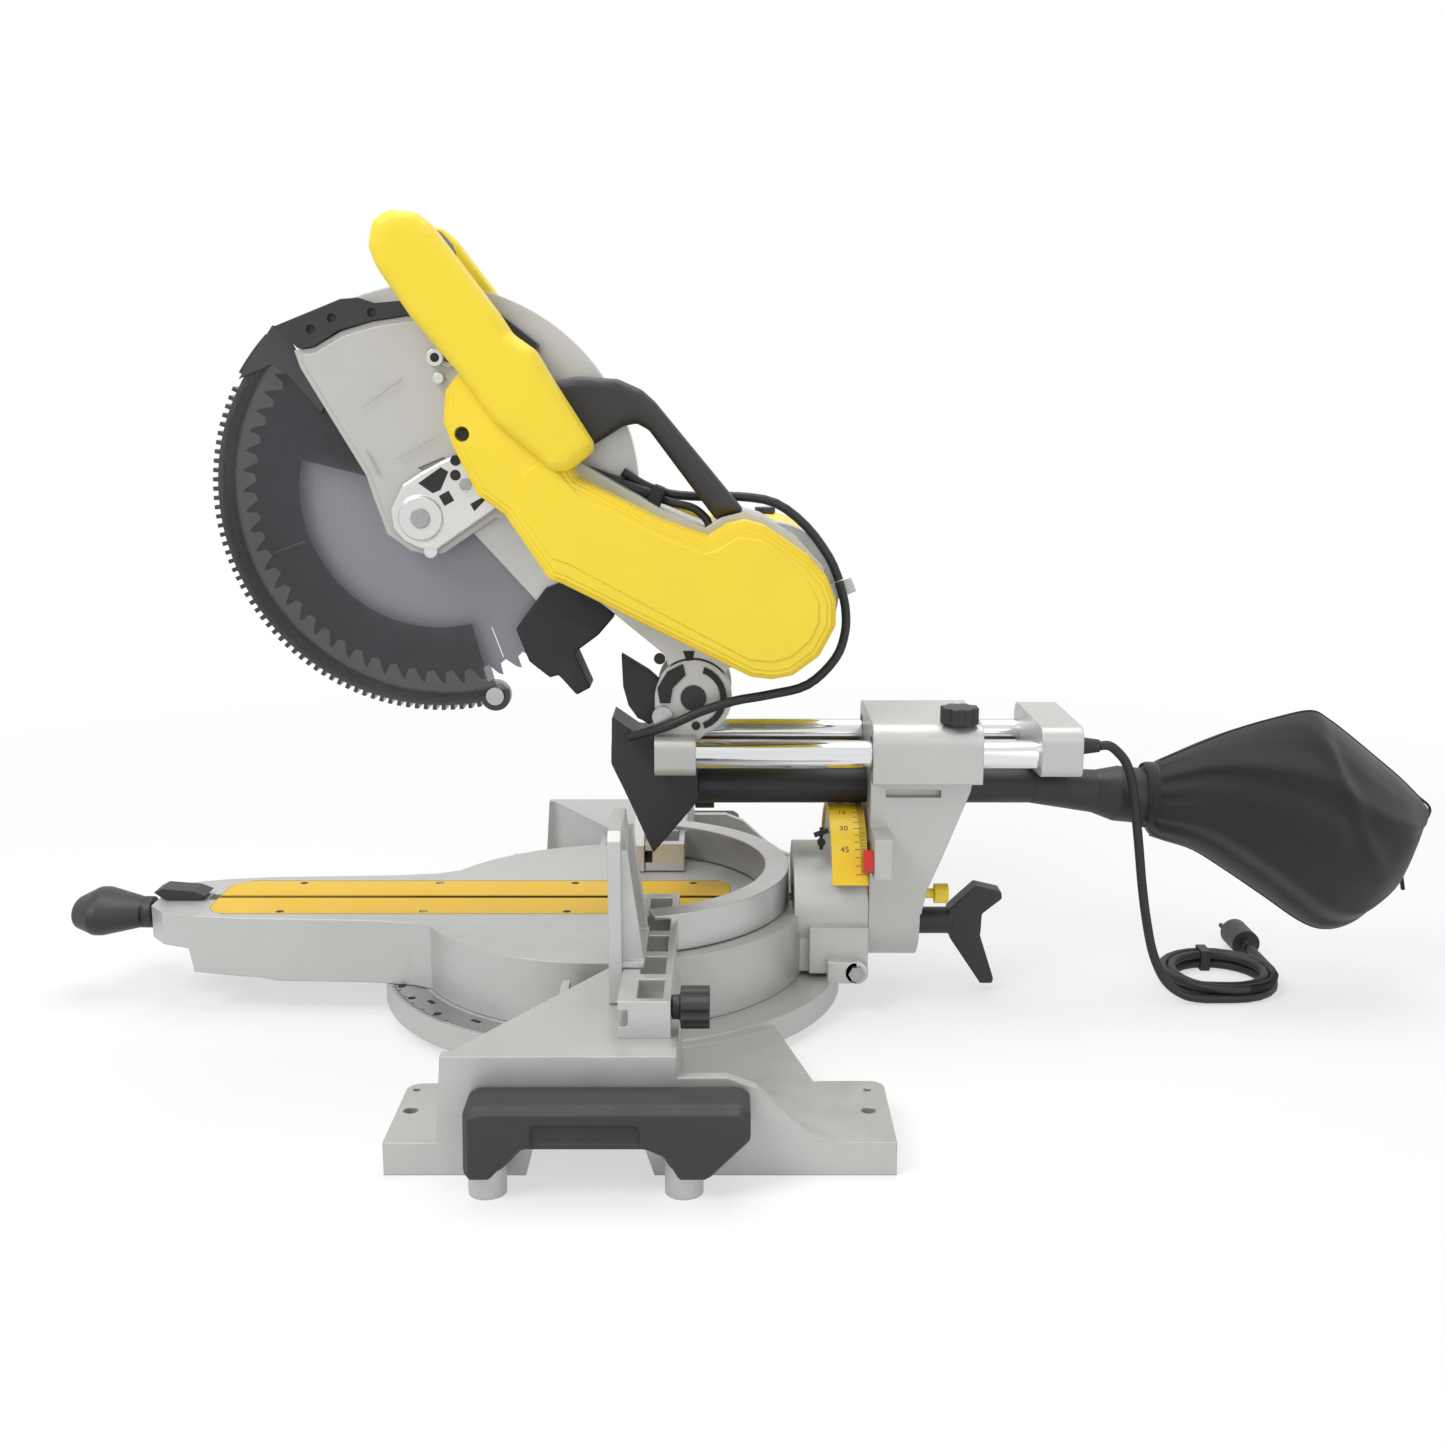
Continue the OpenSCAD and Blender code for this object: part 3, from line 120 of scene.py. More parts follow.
def add_rod(bm, y, z, x0, x1, radius, segments=28, end=None):
    """A round rod along X, sizes in millimetres; end is the radius at x1 where it tapers."""
    place = Matrix.Translation(Vector(((x0 + x1) / 2, y, z)) * MM) @ Matrix.Rotation(math.pi / 2, 4, "Y")
    bmesh.ops.create_cone(
        bm, cap_ends=True, segments=segments, radius1=radius * MM, radius2=(end or radius) * MM,
        depth=abs(x1 - x0) * MM, matrix=place,
    )


def add_block(bm, low, high, turn=None):
    """A block between two corners in millimetres, turned about its own middle."""
    size = [b - a for a, b in zip(low, high)]
    middle = Vector([(a + b) / 2 for a, b in zip(low, high)]) * MM
    matrix = Matrix.Translation(middle) @ (turn or Matrix.Identity(4))
    bmesh.ops.create_cube(bm, size=MM, matrix=matrix @ Matrix.Diagonal((*size, 1)))


def add_plate(bm, outline, x0, x1, edge=0.0):
    """A plate with an outline of (y, z) points, between x0 and x1, with rounded edges."""
    verts = [bm.verts.new(Vector((x0, y, z)) * MM) for y, z in outline]
    face = bm.faces.new(verts)
    grown = bmesh.ops.extrude_face_region(bm, geom=[face])["geom"]
    top = [g for g in grown if isinstance(g, bmesh.types.BMVert)]
    bmesh.ops.translate(bm, verts=top, vec=((x1 - x0) * MM, 0, 0))
    if edge:
        rim = {e for v in top for e in v.link_edges if e.other_vert(v) in top}
        round_edges(bm, list(rim), edge)


def round_edges(bm, edges, radius, segments=3):
    """Rounds edges to a radius in millimetres."""
    bmesh.ops.bevel(
        bm, geom=edges, offset=radius * MM, offset_type="OFFSET", segments=segments, profile=0.5,
        affect="EDGES", material=-1, clamp_overlap=True,
    )


def trim(name, bm, finish, body, smooth=False):
    """Shows a piece of trim, riding on a body of the frame."""
    obj = from_bmesh(name, bm, FINISH[finish], smooth)
    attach(obj, body)


def softened(node_name, body, finish, slot, voxel, passes):
    """A moulded node with its corners rounded as the mould rounds them, shown in its place."""
    bm = bmesh.new()
    bm.from_mesh(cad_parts[node_name].data)
    bmesh.ops.remove_doubles(bm, verts=bm.verts, dist=0.01 * MM)
    rough = from_bmesh(node_name + "_rough", bm)
    remesh = rough.modifiers.new("remesh", "REMESH")
    remesh.mode = "VOXEL"
    remesh.voxel_size = voxel * MM
    relax = rough.modifiers.new("relax", "SMOOTH")
    relax.factor = 0.5
    relax.iterations = passes
    done = baked_mesh(rough)
    done.materials.clear()
    done.materials.append(FINISH[finish])
    for face in done.polygons:
        face.use_smooth = True
    obj = new_object(node_name + "_moulded", done)
    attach(obj, body)
    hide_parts(node_name)


def bend(a, b, c, d, t):
    """A point between b and c, at share t, on a smooth line that passes all four."""
    return 0.5 * (
        2 * b + (c - a) * t + (2 * a - 5 * b + 4 * c - d) * t * t + (3 * b - 3 * c + d - a) * t**3
    )


def smooth_route(points, steps):
    """A smooth line through listed points."""
    pts = [Vector(p) for p in points]
    out = []
    for i in range(len(pts) - 1):
        a, b, c, d = pts[max(i - 1, 0)], pts[i], pts[i + 1], pts[min(i + 2, len(pts) - 1)]
        out += [bend(a, b, c, d, s / steps) for s in range(steps)]
    return out + [pts[-1]]


# ---- material helpers ------------------------------------------------------------------------


def srgb(code):
    """Linear colour of an sRGB hex code."""
    out = []
    for i in (0, 2, 4):
        c = int(code[i : i + 2], 16) / 255
        out.append(c / 12.92 if c <= 0.04045 else ((c + 0.055) / 1.055) ** 2.4)
    return (*out, 1.0)


def node(tree, kind, **inputs):
    """Adds a node; names in inputs are sockets, or settings where no socket has that name."""
    made = tree.nodes.new(kind)
    for key, value in inputs.items():
        socket = key.replace("_", " ")
        if socket in made.inputs:
            if isinstance(value, bpy.types.NodeSocket):
                tree.links.new(value, made.inputs[socket])
            else:
                made.inputs[socket].default_value = value
        else:
            setattr(made, key, value)
    return made


def ramp(tree, fac, stops):
    """Colours spread over a factor; stops are (place, colour)."""
    made = node(tree, "ShaderNodeValToRGB", Fac=fac)
    elements = made.color_ramp.elements
    while len(elements) < len(stops):
        elements.new(0.5)
    for element, (place, colour) in zip(elements, stops):
        element.position = place
        element.color = colour
    return made.outputs["Color"]


def grey(value):
    """A neutral colour, which a ramp also gives as a plain number."""
    return (value, value, value, 1.0)


def material(name, **sockets):
    """A new finish with its shader's constants set, and the place on the piece that patterns read."""
    mat = bpy.data.materials.new(name)
    mat.use_nodes = True
    tree = mat.node_tree
    shader = tree.nodes["Principled BSDF"]
    for key, value in sockets.items():
        shader.inputs[key.replace("_", " ")].default_value = value
    place = node(tree, "ShaderNodeTexCoord").outputs["Object"]
    return mat, tree, shader, place


def mix_colour(tree, fac, a, b, blend_type="MIX"):
    """Mixes two colours, each a socket or a constant."""
    made = node(tree, "ShaderNodeMix", data_type="RGBA", blend_type=blend_type)
    for slot_name, value in (("Factor", fac), ("A", a), ("B", b)):
        sockets = [s for s in made.inputs if s.name == slot_name and s.enabled]
        if isinstance(value, bpy.types.NodeSocket):
            tree.links.new(value, sockets[0])
        else:
            sockets[0].default_value = value
    return [s for s in made.outputs if s.enabled][0]


def add_bump(tree, shader, height, strength, distance, edge=0.0):
    """Surface grain, and edges rounded by edge millimetres as castings and mouldings have them."""
    made = node(tree, "ShaderNodeBump", Strength=strength, Distance=distance, Height=height)
    if edge:
        rounded = node(tree, "ShaderNodeBevel", samples=4, Radius=edge * MM)
        tree.links.new(rounded.outputs["Normal"], made.inputs["Normal"])
    tree.links.new(made.outputs["Normal"], shader.inputs["Normal"])


def noise(tree, place, scale, detail=4.0, rough=0.55):
    """A soft random pattern; scale is in patches per metre."""
    made = node(tree, "ShaderNodeTexNoise", Vector=place, Scale=scale, Detail=detail, Roughness=rough)
    return made.outputs["Fac"]


def cast_paint(name, code, roughness=0.42, metallic=0.35, grain=0.25):
    """Silver paint over cast metal: fine grain, faint patches and rounded edges."""
    mat, tree, shader, place = material(name, Metallic=metallic, Roughness=roughness)
    base = srgb(code)
    patches = ramp(tree, noise(tree, place, 9.0), [(0.3, grey(0.93)), (0.7, grey(1.0))])
    colour = mix_colour(tree, 1.0, base, patches, "MULTIPLY")
    speck = ramp(tree, noise(tree, place, 900.0, 2.0), [(0.35, grey(0.96)), (0.65, grey(1.0))])
    colour = mix_colour(tree, 1.0, colour, speck, "MULTIPLY")
    tree.links.new(colour, shader.inputs["Base Color"])
    rough = ramp(
        tree, noise(tree, place, 60.0), [(0.3, grey(roughness - 0.05)), (0.7, grey(roughness + 0.08))]
    )
    tree.links.new(rough, shader.inputs["Roughness"])
    add_bump(tree, shader, noise(tree, place, 700.0, 3.0), grain, 0.0003, edge=1.6)
    return mat


def moulded(name, code, roughness=0.45, grain=0.2, wear=0.0):
    """Moulded plastic with a fine spark-eroded grain."""
    mat, tree, shader, place = material(name, Roughness=roughness)
    base = srgb(code)
    tone = ramp(tree, noise(tree, place, 14.0), [(0.3, grey(0.95 - wear)), (0.7, grey(1.0))])
    tree.links.new(mix_colour(tree, 1.0, base, tone, "MULTIPLY"), shader.inputs["Base Color"])
    rough = ramp(
        tree, noise(tree, place, 40.0), [(0.3, grey(roughness - 0.06)), (0.7, grey(roughness + 0.06))]
    )
    tree.links.new(rough, shader.inputs["Roughness"])
    add_bump(tree, shader, noise(tree, place, 1100.0, 2.0), grain, 0.0002, edge=0.8)
    return mat


def drawn_steel(name, code, axis, roughness=0.28, streak=220.0):
    """Bright metal with fine lines along one axis."""
    mat, tree, shader, place = material(name, Metallic=1.0, Roughness=roughness)
    scale = [streak, streak, streak]
    scale[axis] = 4.0
    stretched = node(tree, "ShaderNodeMapping", Vector=place, Scale=scale).outputs["Vector"]
    lines = noise(tree, stretched, 1.0, 3.0)
    tone = ramp(tree, lines, [(0.3, grey(0.86)), (0.7, grey(1.0))])
    tree.links.new(mix_colour(tree, 1.0, srgb(code), tone, "MULTIPLY"), shader.inputs["Base Color"])
    rough = ramp(tree, lines, [(0.3, grey(roughness + 0.08)), (0.7, grey(roughness - 0.04))])
    tree.links.new(rough, shader.inputs["Roughness"])
    add_bump(tree, shader, lines, 0.08, 0.0002)
    return mat


def turned_radius(tree, place, turning):
    """Distance from the axis that a round node turns on, for rings round it."""
    low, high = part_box(turning)
    moved = node(tree, "ShaderNodeVectorMath", operation="SUBTRACT", Vector=place)
    moved.inputs[1].default_value = (low + high) / 2
    flat = node(tree, "ShaderNodeVectorMath", operation="MULTIPLY", Vector=moved.outputs[0])
    flat.inputs[1].default_value = (0.0, 1.0, 1.0)
    return node(tree, "ShaderNodeVectorMath", operation="LENGTH", Vector=flat.outputs[0]).outputs["Value"]


def blade_steel(name):
    """Ground saw steel, turned in fine rings round the arbor."""
    mat, tree, shader, place = material(name, Metallic=0.85, Roughness=0.5)
    rings = node(tree, "ShaderNodeCombineXYZ", X=turned_radius(tree, place, "blade"))
    lines = noise(tree, rings.outputs[0], 900.0, 3.0)
    tone = ramp(tree, lines, [(0.3, grey(0.82)), (0.7, grey(1.0))])
    tree.links.new(mix_colour(tree, 1.0, srgb("8F9096"), tone, "MULTIPLY"), shader.inputs["Base Color"])
    add_bump(tree, shader, lines, 0.06, 0.0002)
    return mat


# radii, in metres from the arbor, between which the clear guard turns opaque
RIM_INSIDE = 0.161
RIM_OUTSIDE = 0.165


def smoked_plastic(name):
    """Clear guard plastic with a smoke tint, opaque on its thick rim."""
    mat, tree, shader, place = material(name, Roughness=0.22)
    tone = ramp(tree, noise(tree, place, 12.0), [(0.3, srgb("2C2D30")), (0.7, srgb("3C3D41"))])
    tree.links.new(tone, shader.inputs["Base Color"])
    rough = ramp(tree, noise(tree, place, 70.0), [(0.3, grey(0.18)), (0.7, grey(0.34))])
    tree.links.new(rough, shader.inputs["Roughness"])
    # the ribbed rim is thick and looks black, the flat sides let light through
    reach = turned_radius(tree, place, "blade")
    clear = node(
        tree, "ShaderNodeMapRange", Value=reach, From_Min=RIM_INSIDE, From_Max=RIM_OUTSIDE, To_Min=0.5,
        To_Max=1.0,
    )
    tree.links.new(clear.outputs[0], shader.inputs["Alpha"])
    return mat


def woven(name, code):
    """Dense nylon cloth: crossed threads with a soft sheen."""
    mat, tree, shader, place = material(name, Roughness=0.85, Sheen_Weight=0.25, Sheen_Roughness=0.5)
    warp = node(tree, "ShaderNodeTexWave", Vector=place, Scale=260.0, bands_direction="Z").outputs["Fac"]
    weft = node(tree, "ShaderNodeTexWave", Vector=place, Scale=260.0, bands_direction="Y").outputs["Fac"]
    crossed = node(tree, "ShaderNodeMath", operation="MULTIPLY")
    tree.links.new(warp, crossed.inputs[0])
    tree.links.new(weft, crossed.inputs[1])
    tone = ramp(tree, noise(tree, place, 24.0), [(0.3, grey(0.75)), (0.7, grey(1.15))])
    tree.links.new(mix_colour(tree, 1.0, srgb(code), tone, "MULTIPLY"), shader.inputs["Base Color"])
    add_bump(tree, shader, crossed.outputs[0], 0.35, 0.0003)
    return mat


FINISH = {
    # silver paint over cast metal: soft sheen, a faint mottle and edges caught by the light
    "cast": cast_paint("cast paint", "C2C2C0", 0.4, 0.5),
    # faces that were milled after casting: paler, smoother and a little more metallic
    "machined": cast_paint("machined face", "CBCBCA", 0.34, 0.6, 0.12),
    # the gear case is a warmer grey, with a coarser skin
    "gear_cast": cast_paint("gear case paint", "BFBEBB", 0.42, 0.5, 0.3),
    # bare polished casting round the arbor, the brightest of the greys
    "bright": cast_paint("bright casting", "DADAD9", 0.3, 0.7, 0.15),
    # near black for the clip and small screws, and flat sheets in pockets, screw wells and slots as painted
    # shade: almost no light comes back
    "dark": moulded("near black and painted recess shade", "1A1A1B", 0.7, 0.1),
    # printed lines and numbers, flat and dull
    "mark": moulded("scale ink", "17171A", 0.6, 0.0),
    # roller, spring, pin and detent plate: bright, with grinding lines
    "steel": drawn_steel("ground steel", "B9BABC", 1),
    # plated fasteners and shafts: duller and finer grained than ground steel
    "zinc": drawn_steel("zinc plate", "A9AAAB", 0, 0.35, 400.0),
    # the rails mirror the room in long sharp streaks
    "rail": drawn_steel("chromed rail", "E4E5E7", 1, 0.12, 300.0),
    # knobs, levers and covers: dull black with a fine grain
    "black": moulded("black plastic", "26262A", 0.5),
    # the grips are softer and more matt than the plastic
    "grip": moulded("grip rubber", "2E2E31", 0.6, 0.4),
    # the covers of the motor and belt: satin, so the edges show a soft highlight
    "yellow": moulded("yellow housing", "F5D938", 0.4),
    # the handle is the same yellow with a grain that a hand can feel
    "handle": moulded("yellow handle", "F3D835", 0.48, 0.35),
    # kerf plates: a deeper yellow, rubbed matt by wood
    "plate": moulded("kerf plate plastic", "E8BC28", 0.5),
    # the bevel scale's smooth painted strip
    "scale": moulded("scale strip", "F0C92C", 0.4, 0.05),
    # small red pointers, glossier than what is round them
    "red": moulded("red pointer", "C4231E", 0.35, 0.05),
    # the cords' sheath: black rubber with a slight sheen
    "rubber": moulded("cord sheath", "1C1C1E", 0.55, 0.3),
    # the chute and buffer: rough rubber that shows hardly any highlight
    "chute": moulded("chute rubber", "1F1F22", 0.7, 0.4),
    # stacked iron sheets of the stator: dark and coarse
    "iron": cast_paint("laminated iron", "6A6B6D", 0.5, 0.8, 0.4),
    # lacquered winding wire on the armature
    "copper": drawn_steel("copper winding", "B8743C", 0, 0.4, 500.0),
    # the blade shines in rings that turn round the arbor
    "blade": blade_steel("blade steel"),
    # the lower guard: the blade shows through as if through grey glass
    "smoke": smoked_plastic("smoked guard"),
    # the guard's thick front edge, which lets no light through
    "smoke_edge": moulded("smoked guard edge", "3B3C3F", 0.3, 0.05),
    # the bag drinks up light, and only its folds show
    "cloth": woven("bag cloth", "141416"),
}

# finish: the nodes of the frame that wear it
NODE_FINISH = {
    "cast": ["base_casting", "turntable", "bevel_column", "carriage", "rail_end_cap", "head_arm"],
    "machined": ["fixed_fence", "sliding_fence_right", "sliding_fence_left", "upper_guard"],
    "gear_cast": ["gear_case"],
    "steel": ["miter_detent_plate", "guard_roller", "lift_spring", "lock_down_pin"],
    "zinc": ["fence_bolts", "kerf_screws", "miter_pivot_bolt", "bevel_pivot_bolt", "spindle", "layshaft"],
    "rail": ["rails"],
    "black": [
        "miter_lock_handle", "miter_latch_lever", "bevel_lock_lever", "rail_lock_knob", "fence_knob_right",
        "fence_knob_left", "dust_funnel", "dust_pipe", "hinge_pin", "guard_link_cover", "carry_handle",
        "motor_end_cap", "brush_caps", "spindle_lock_button", "trigger", "rail_bushes", "cord_plug",
        "cord_tie",
    ],
    "grip": ["side_grips"],
    "yellow": ["belt_cover", "motor_housing", "bevel_stop_pin"],
    "handle": ["main_handle"],
    "plate": ["kerf_plates"],
    "scale": ["bevel_scale"],
    "red": ["bevel_pointers"],
    "rubber": ["cord_relief", "power_cord", "cord_coil", "head_cable", "cable_loop", "drive_belts"],
    "chute": ["dust_chute"],
    "iron": ["stator"],
    "copper": ["armature"],
    "blade": ["blade"],
    "smoke": ["lower_guard"],
    "cloth": ["dust_bag"],
}


# ---- cords -----------------------------------------------------------------------------------

CORD_RADIUS = 3.75 * MM
# the stretch from the end cap to the coil, in millimetres
LEAD = [
    (30, 352.6, 214), (30, 360, 214), (30, 367, 209), (31, 374, 200), (32, 379, 185), (33, 383, 160),
    (34, 387, 130), (34, 391, 100), (35, 396, 70), (35, 403, 42), (36, 414, 20), (36, 430, 8),
    (36, 447, 5),
]
COIL_CENTRE = (-9, 470)
# radius and height of each turn
COIL_TURNS = [(45.0, 5.1), (37.5, 5.1), (37.5, 12.7), (45.0, 12.7)]
TURN_POINTS = 24


def coil_points():
    """Four turns, two side by side in two layers; the last leaves along the outside."""
    out = []
    count = len(COIL_TURNS)
    total = count * TURN_POINTS + TURN_POINTS // 4
    for i in range(total + 1):
        turn = i / TURN_POINTS
        k = min(int(turn), count - 1)
        share = turn - k
        here = COIL_TURNS[k]
        after = COIL_TURNS[min(k + 1, count - 1)]
        blend_in = max(0.0, min(1.0, (share - 0.7) / 0.3)) if k < count - 1 else 0.0
        ease = blend_in * blend_in * (3 - 2 * blend_in)
        r = here[0] + (after[0] - here[0]) * ease
        z = here[1] + (after[1] - here[1]) * ease
        angle = 2 * math.pi * turn
        out.append((COIL_CENTRE[0] + r * math.cos(angle), COIL_CENTRE[1] + r * math.sin(angle), z))
    return out


def power_cord():
    """The mains lead: down from the end cap, along the bench and into a small coil."""
    lead = smooth_route(LEAD, 4)
    tail = [(-20, 515, 12.6), (-30, 515, 12.5), (-50, 515, 12.5), (-64, 515, 12.5)]
    points = [Vector(p) * MM for p in [*lead, *coil_points(), *tail]]
    cord = curve_tube("mains_cord", points, CORD_RADIUS, FINISH["rubber"])
    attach(cord, "base")
    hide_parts("power_cord", "cord_coil")


power_cord()


LOOP_RADIUS = 3.6 * MM
LOOP_ROUTE = [
    (12, 146, 342), (14, 151, 323), (18, 151, 303), (26, 143, 283), (36, 121, 264), (46, 91, 258),
    (51, 64, 254), (53, 38, 246), (51, 12, 234), (38, -8, 226), (28, -18, 221),
]


def swinging_cable():
    """The cable behind the hinge, as one fixed mesh in its place."""
    points = [Vector(p) * MM for p in smooth_route(LOOP_ROUTE, 4)]
    curve = curve_tube("hinge_cable_line", points, LOOP_RADIUS, FINISH["rubber"])
    cable = new_object("hinge_cable", baked_mesh(curve))
    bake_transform(cable)
    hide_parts("cable_loop")


swinging_cable()


# ---- dust bag --------------------------------------------------------------------------------

# rings of the bag from its collar to its far corner: top (y, z), bottom (y, z), half width
BAG_RINGS = [
    ((398, 192), (393, 141), 25.0), ((404, 191), (399, 140), 25.0), ((409, 195), (404, 133), 29.0),
    ((420, 200), (416, 129), 34.0), ((445, 211), (440, 121), 43.0), ((470, 221), (466, 105), 51.0),
    ((500, 230), (500, 82), 57.0), ((528, 236), (532, 60), 59.0), ((543, 229), (552, 53), 57.0),
    ((562, 215), (572, 57), 52.0), ((582, 199), (590, 72), 44.0), ((603, 182), (606, 92), 33.0),
    ((620, 166), (615, 112), 19.0), ((632, 153), (620, 131), 7.0),
]
BAG_SIDES = 96
# where the cloth begins, and its length from there, along Y
BAG_START = 395
BAG_LENGTH = 236


def bag_folds(lean, along, side):
    """How far the cloth stands off its plain shape, in millimetres.

    lean is the angle up from the bag's middle height, along is the share of its length from the collar, and
    side is 1 or -1.
    """
    # pleats where the cloth is drawn in at the collar
    pull = math.exp(-((along - 0.06) / 0.09) ** 2)
    gathers = 1.3 * pull * math.sin(15 * lean + 1.3 * math.sin(3 * lean) + side)
    # long folds that slope with the weight of the dust, each a ridge with a dip under it
    body = math.sin(math.pi * min(1.0, max(0.0, (along - 0.04) / 0.96))) ** 0.7
    ridge = 4.5 * math.exp(-((lean - 0.95 + 0.75 * along) / 0.10) ** 2)
    under = -4.0 * math.exp(-((lean - 0.70 + 0.75 * along) / 0.12) ** 2)
    low_fold = 3.6 * math.exp(-((lean + 0.2 + 0.9 * along) / 0.11) ** 2)
    low_dip = -3.4 * math.exp(-((lean + 0.45 + 0.9 * along) / 0.13) ** 2)
    # the far corner pushes out, and the rest of the cloth is never quite smooth
    corner = 3.8 * math.exp(-((along - 0.72 + 0.16 * lean) / 0.035) ** 2) * (0.4 + 0.6 * math.sin(lean + 0.9))
    soft = 1.8 * math.sin(4.6 * along * math.pi + 2.9 * lean + 0.8 * side) * math.sin(2.3 * lean + 0.6)
    fine = 0.5 * math.sin(31 * along + 9 * lean) * math.sin(17 * lean - 12 * along)
    return gathers + body * (ridge + under + low_fold + low_dip + corner + soft + fine)


def dust_bag():
    """Part-filled nylon bag: two panels sewn along their edge, gathered on a cuff round the pipe."""
    bm = bmesh.new()
    tops = smooth_route([(0, *ring[0]) for ring in BAG_RINGS], 5)
    bottoms = smooth_route([(0, *ring[1]) for ring in BAG_RINGS], 5)
    widths = smooth_route([(ring[2], 0, 0) for ring in BAG_RINGS], 5)
    rings = []
    for high, low, wide in zip(tops, bottoms, widths):
        middle, up = (high + low) / 2, (high - low) / 2
        made = bmesh.ops.create_circle(bm, segments=BAG_SIDES, radius=1.0)["verts"]
        along = (middle.y - BAG_START) / BAG_LENGTH
        pinch = 1.0 + 0.35 * min(1.0, max(0.0, (along - 0.1) * 2.2))
        for v in made:
            angle = math.atan2(v.co.y, v.co.x)
            # panels meet in a seam at the top and bottom edge
            across = abs(math.cos(angle)) ** pinch
            side = 1 if math.cos(angle) >= 0 else -1
            lean = math.asin(max(-1.0, min(1.0, math.sin(angle))))
            push = bag_folds(lean, along, side) * min(1.0, 2.5 * across)
            spot = middle + up * math.sin(angle)
            v.co = Vector((side * (across * wide.x + push), spot.y, spot.z)) * MM
        ring = set(made)
        rings.append([e for e in {e for v in made for e in v.link_edges} if set(e.verts) <= ring])
    for a, b in zip(rings, rings[1:]):
        bmesh.ops.bridge_loops(bm, edges=a + b)
    for loop in (rings[0], rings[-1]):
        bmesh.ops.contextual_create(bm, geom=loop)
    bag = from_bmesh("cloth_bag", bm, FINISH["cloth"])
    finer = bag.modifiers.new("finer", "SUBSURF")
    finer.levels = finer.render_levels = 1
    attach(bag, "carriage")
    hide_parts("dust_bag")


def bag_seam():
    """Bound seam round the bag's edge, and the zip pull's tail at its low corner."""
    top = [Vector((0, *ring[0])) for ring in BAG_RINGS[2:]]
    bottom = [Vector((0, *ring[1])) for ring in BAG_RINGS[2:]]
    route = smooth_route([*top, *reversed(bottom)], 5)
    seam = curve_tube("bag_seam", [p * MM for p in route], 1.1 * MM, FINISH["cloth"], 2)
    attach(seam, "carriage")
    bm = bmesh.new()
    add_block(bm, (-1.5, 612, 86), (1.5, 614.5, 108), Matrix.Rotation(0.2, 4, "X"))
    trim("zip_pull", bm, "cloth", "carriage")
    bm = bmesh.new()
    spin_ring(bm, (0, 401.5, 166.5), 26.0, 2.4, 10.0)
    trim("bag_cuff", bm, "cloth", "carriage", smooth=True)


def spin_ring(bm, centre, radius, thick, width):
    """A rounded band round Y."""
    c = Vector(centre) * MM
    start = [
        bm.verts.new(c + Vector((radius + 0.5 * thick * math.cos(a), width * 0.5 * math.sin(a), 0)) * MM)
        for a in [math.tau * k / 10 for k in range(10)]
    ]
    edges = [bm.edges.new((a, b)) for a, b in zip(start, start[1:] + start[:1])]
    bmesh.ops.spin(
        bm, geom=edges, cent=c, axis=(0, 1, 0), angle=math.tau, steps=48, use_merge=True, use_duplicate=False
    )


dust_bag()
bag_seam()


# ---- moulded pieces --------------------------------------------------------------------------

# node, body, finish, slot, voxel in millimetres, smoothing passes
MOULDINGS = [
    ("main_handle", "head", "handle", "yellow", 1.5, 10),
    ("carry_handle", "head", "black", "black", 1.2, 10),
    ("side_grips", "base", "grip", "black", 1.7, 5),
    ("dust_chute", "head", "chute", "rubber", 1.2, 3),
    ("dust_funnel", "carriage", "black", "black", 1.2, 3),
    ("miter_lock_handle", "miter_handle", "black", "black", 0.9, 5),
    ("bevel_lock_lever", "bevel_lever", "black", "black", 0.8, 6),
    ("fence_knob_right", "fence_knob_right", "black", "black", 0.8, 2),
    ("fence_knob_left", "fence_knob_left", "black", "black", 0.8, 2),
    ("rail_lock_knob", "rail_knob", "black", "black", 0.7, 2),
]
for moulding in MOULDINGS:
    softened(*moulding)


# ---- trim ------------------------------------------------------------------------------------


def gear_case_details():
    """Boss, bolts and ribs on the side of the gear case, and painted shade in its pockets."""
    bm = bmesh.new()
    add_plate(bm, [
        (-197, 400), (-195.5, 386), (-187, 376), (-176, 370.5), (-163, 369), (-122, 397), (-114, 403),
        (-122, 418), (-136, 432), (-147, 441), (-158, 436), (-173, 428), (-187, 419),
    ], 39.1, 45.5, 2.2)
    add_rod(bm, -173.8, 393.7, 45.5, 47.5, 17.5, 40, 16)
    add_rod(bm, -167.4, 368.7, 30, 45, 5.2, 20)
    add_rod(bm, -159.6, 512.5, 39, 42.5, 6.5)
    add_rod(bm, -157.6, 497.5, 39, 42.5, 4.2)
    trim("arbor_casting", bm, "bright", "head")
    # painted shade: thin near-black plates where the casting's pockets and holes are
    bm = bmesh.new()
    add_plate(bm, [(-174.7, 420), (-157.3, 432), (-151.7, 428.5), (-158, 415), (-164, 412.5)], 45.5, 45.75)
    add_block(bm, (45.5, -158, 404.5), (45.8, -149.5, 413), Matrix.Rotation(0.5, 4, "X"))
    add_rod(bm, -146, 437, 45.6, 45.9, 4.0)
    add_rod(bm, -146.5, 426, 45.6, 45.9, 4.0)
    add_rod(bm, -159.6, 512.5, 42.5, 42.7, 3.4)
    add_plate(bm, [(-136, 404.5), (-122, 412), (-123, 409), (-133, 399)], 45.5, 45.7)
    trim("casting_pocket_painted_shade", bm, "dark", "head")
    bm = bmesh.new()
    add_rod(bm, -173.8, 393.7, 47.5, 49.2, 7.6, 32, 7.0)
    add_rod(bm, -139, 419, 45.5, 48, 5.0, 6)
    trim("casting_bolts", bm, "zinc", "head")
    bm = bmesh.new()
    for a, b in [((-216, 476), (-186, 497)), ((-191, 438), (-159, 456)), ((-214, 444), (-206, 426))]:
        rib(bm, a, b, 39.0, 39.5, 0.9)
    trim("case_ribs", bm, "gear_cast", "head")


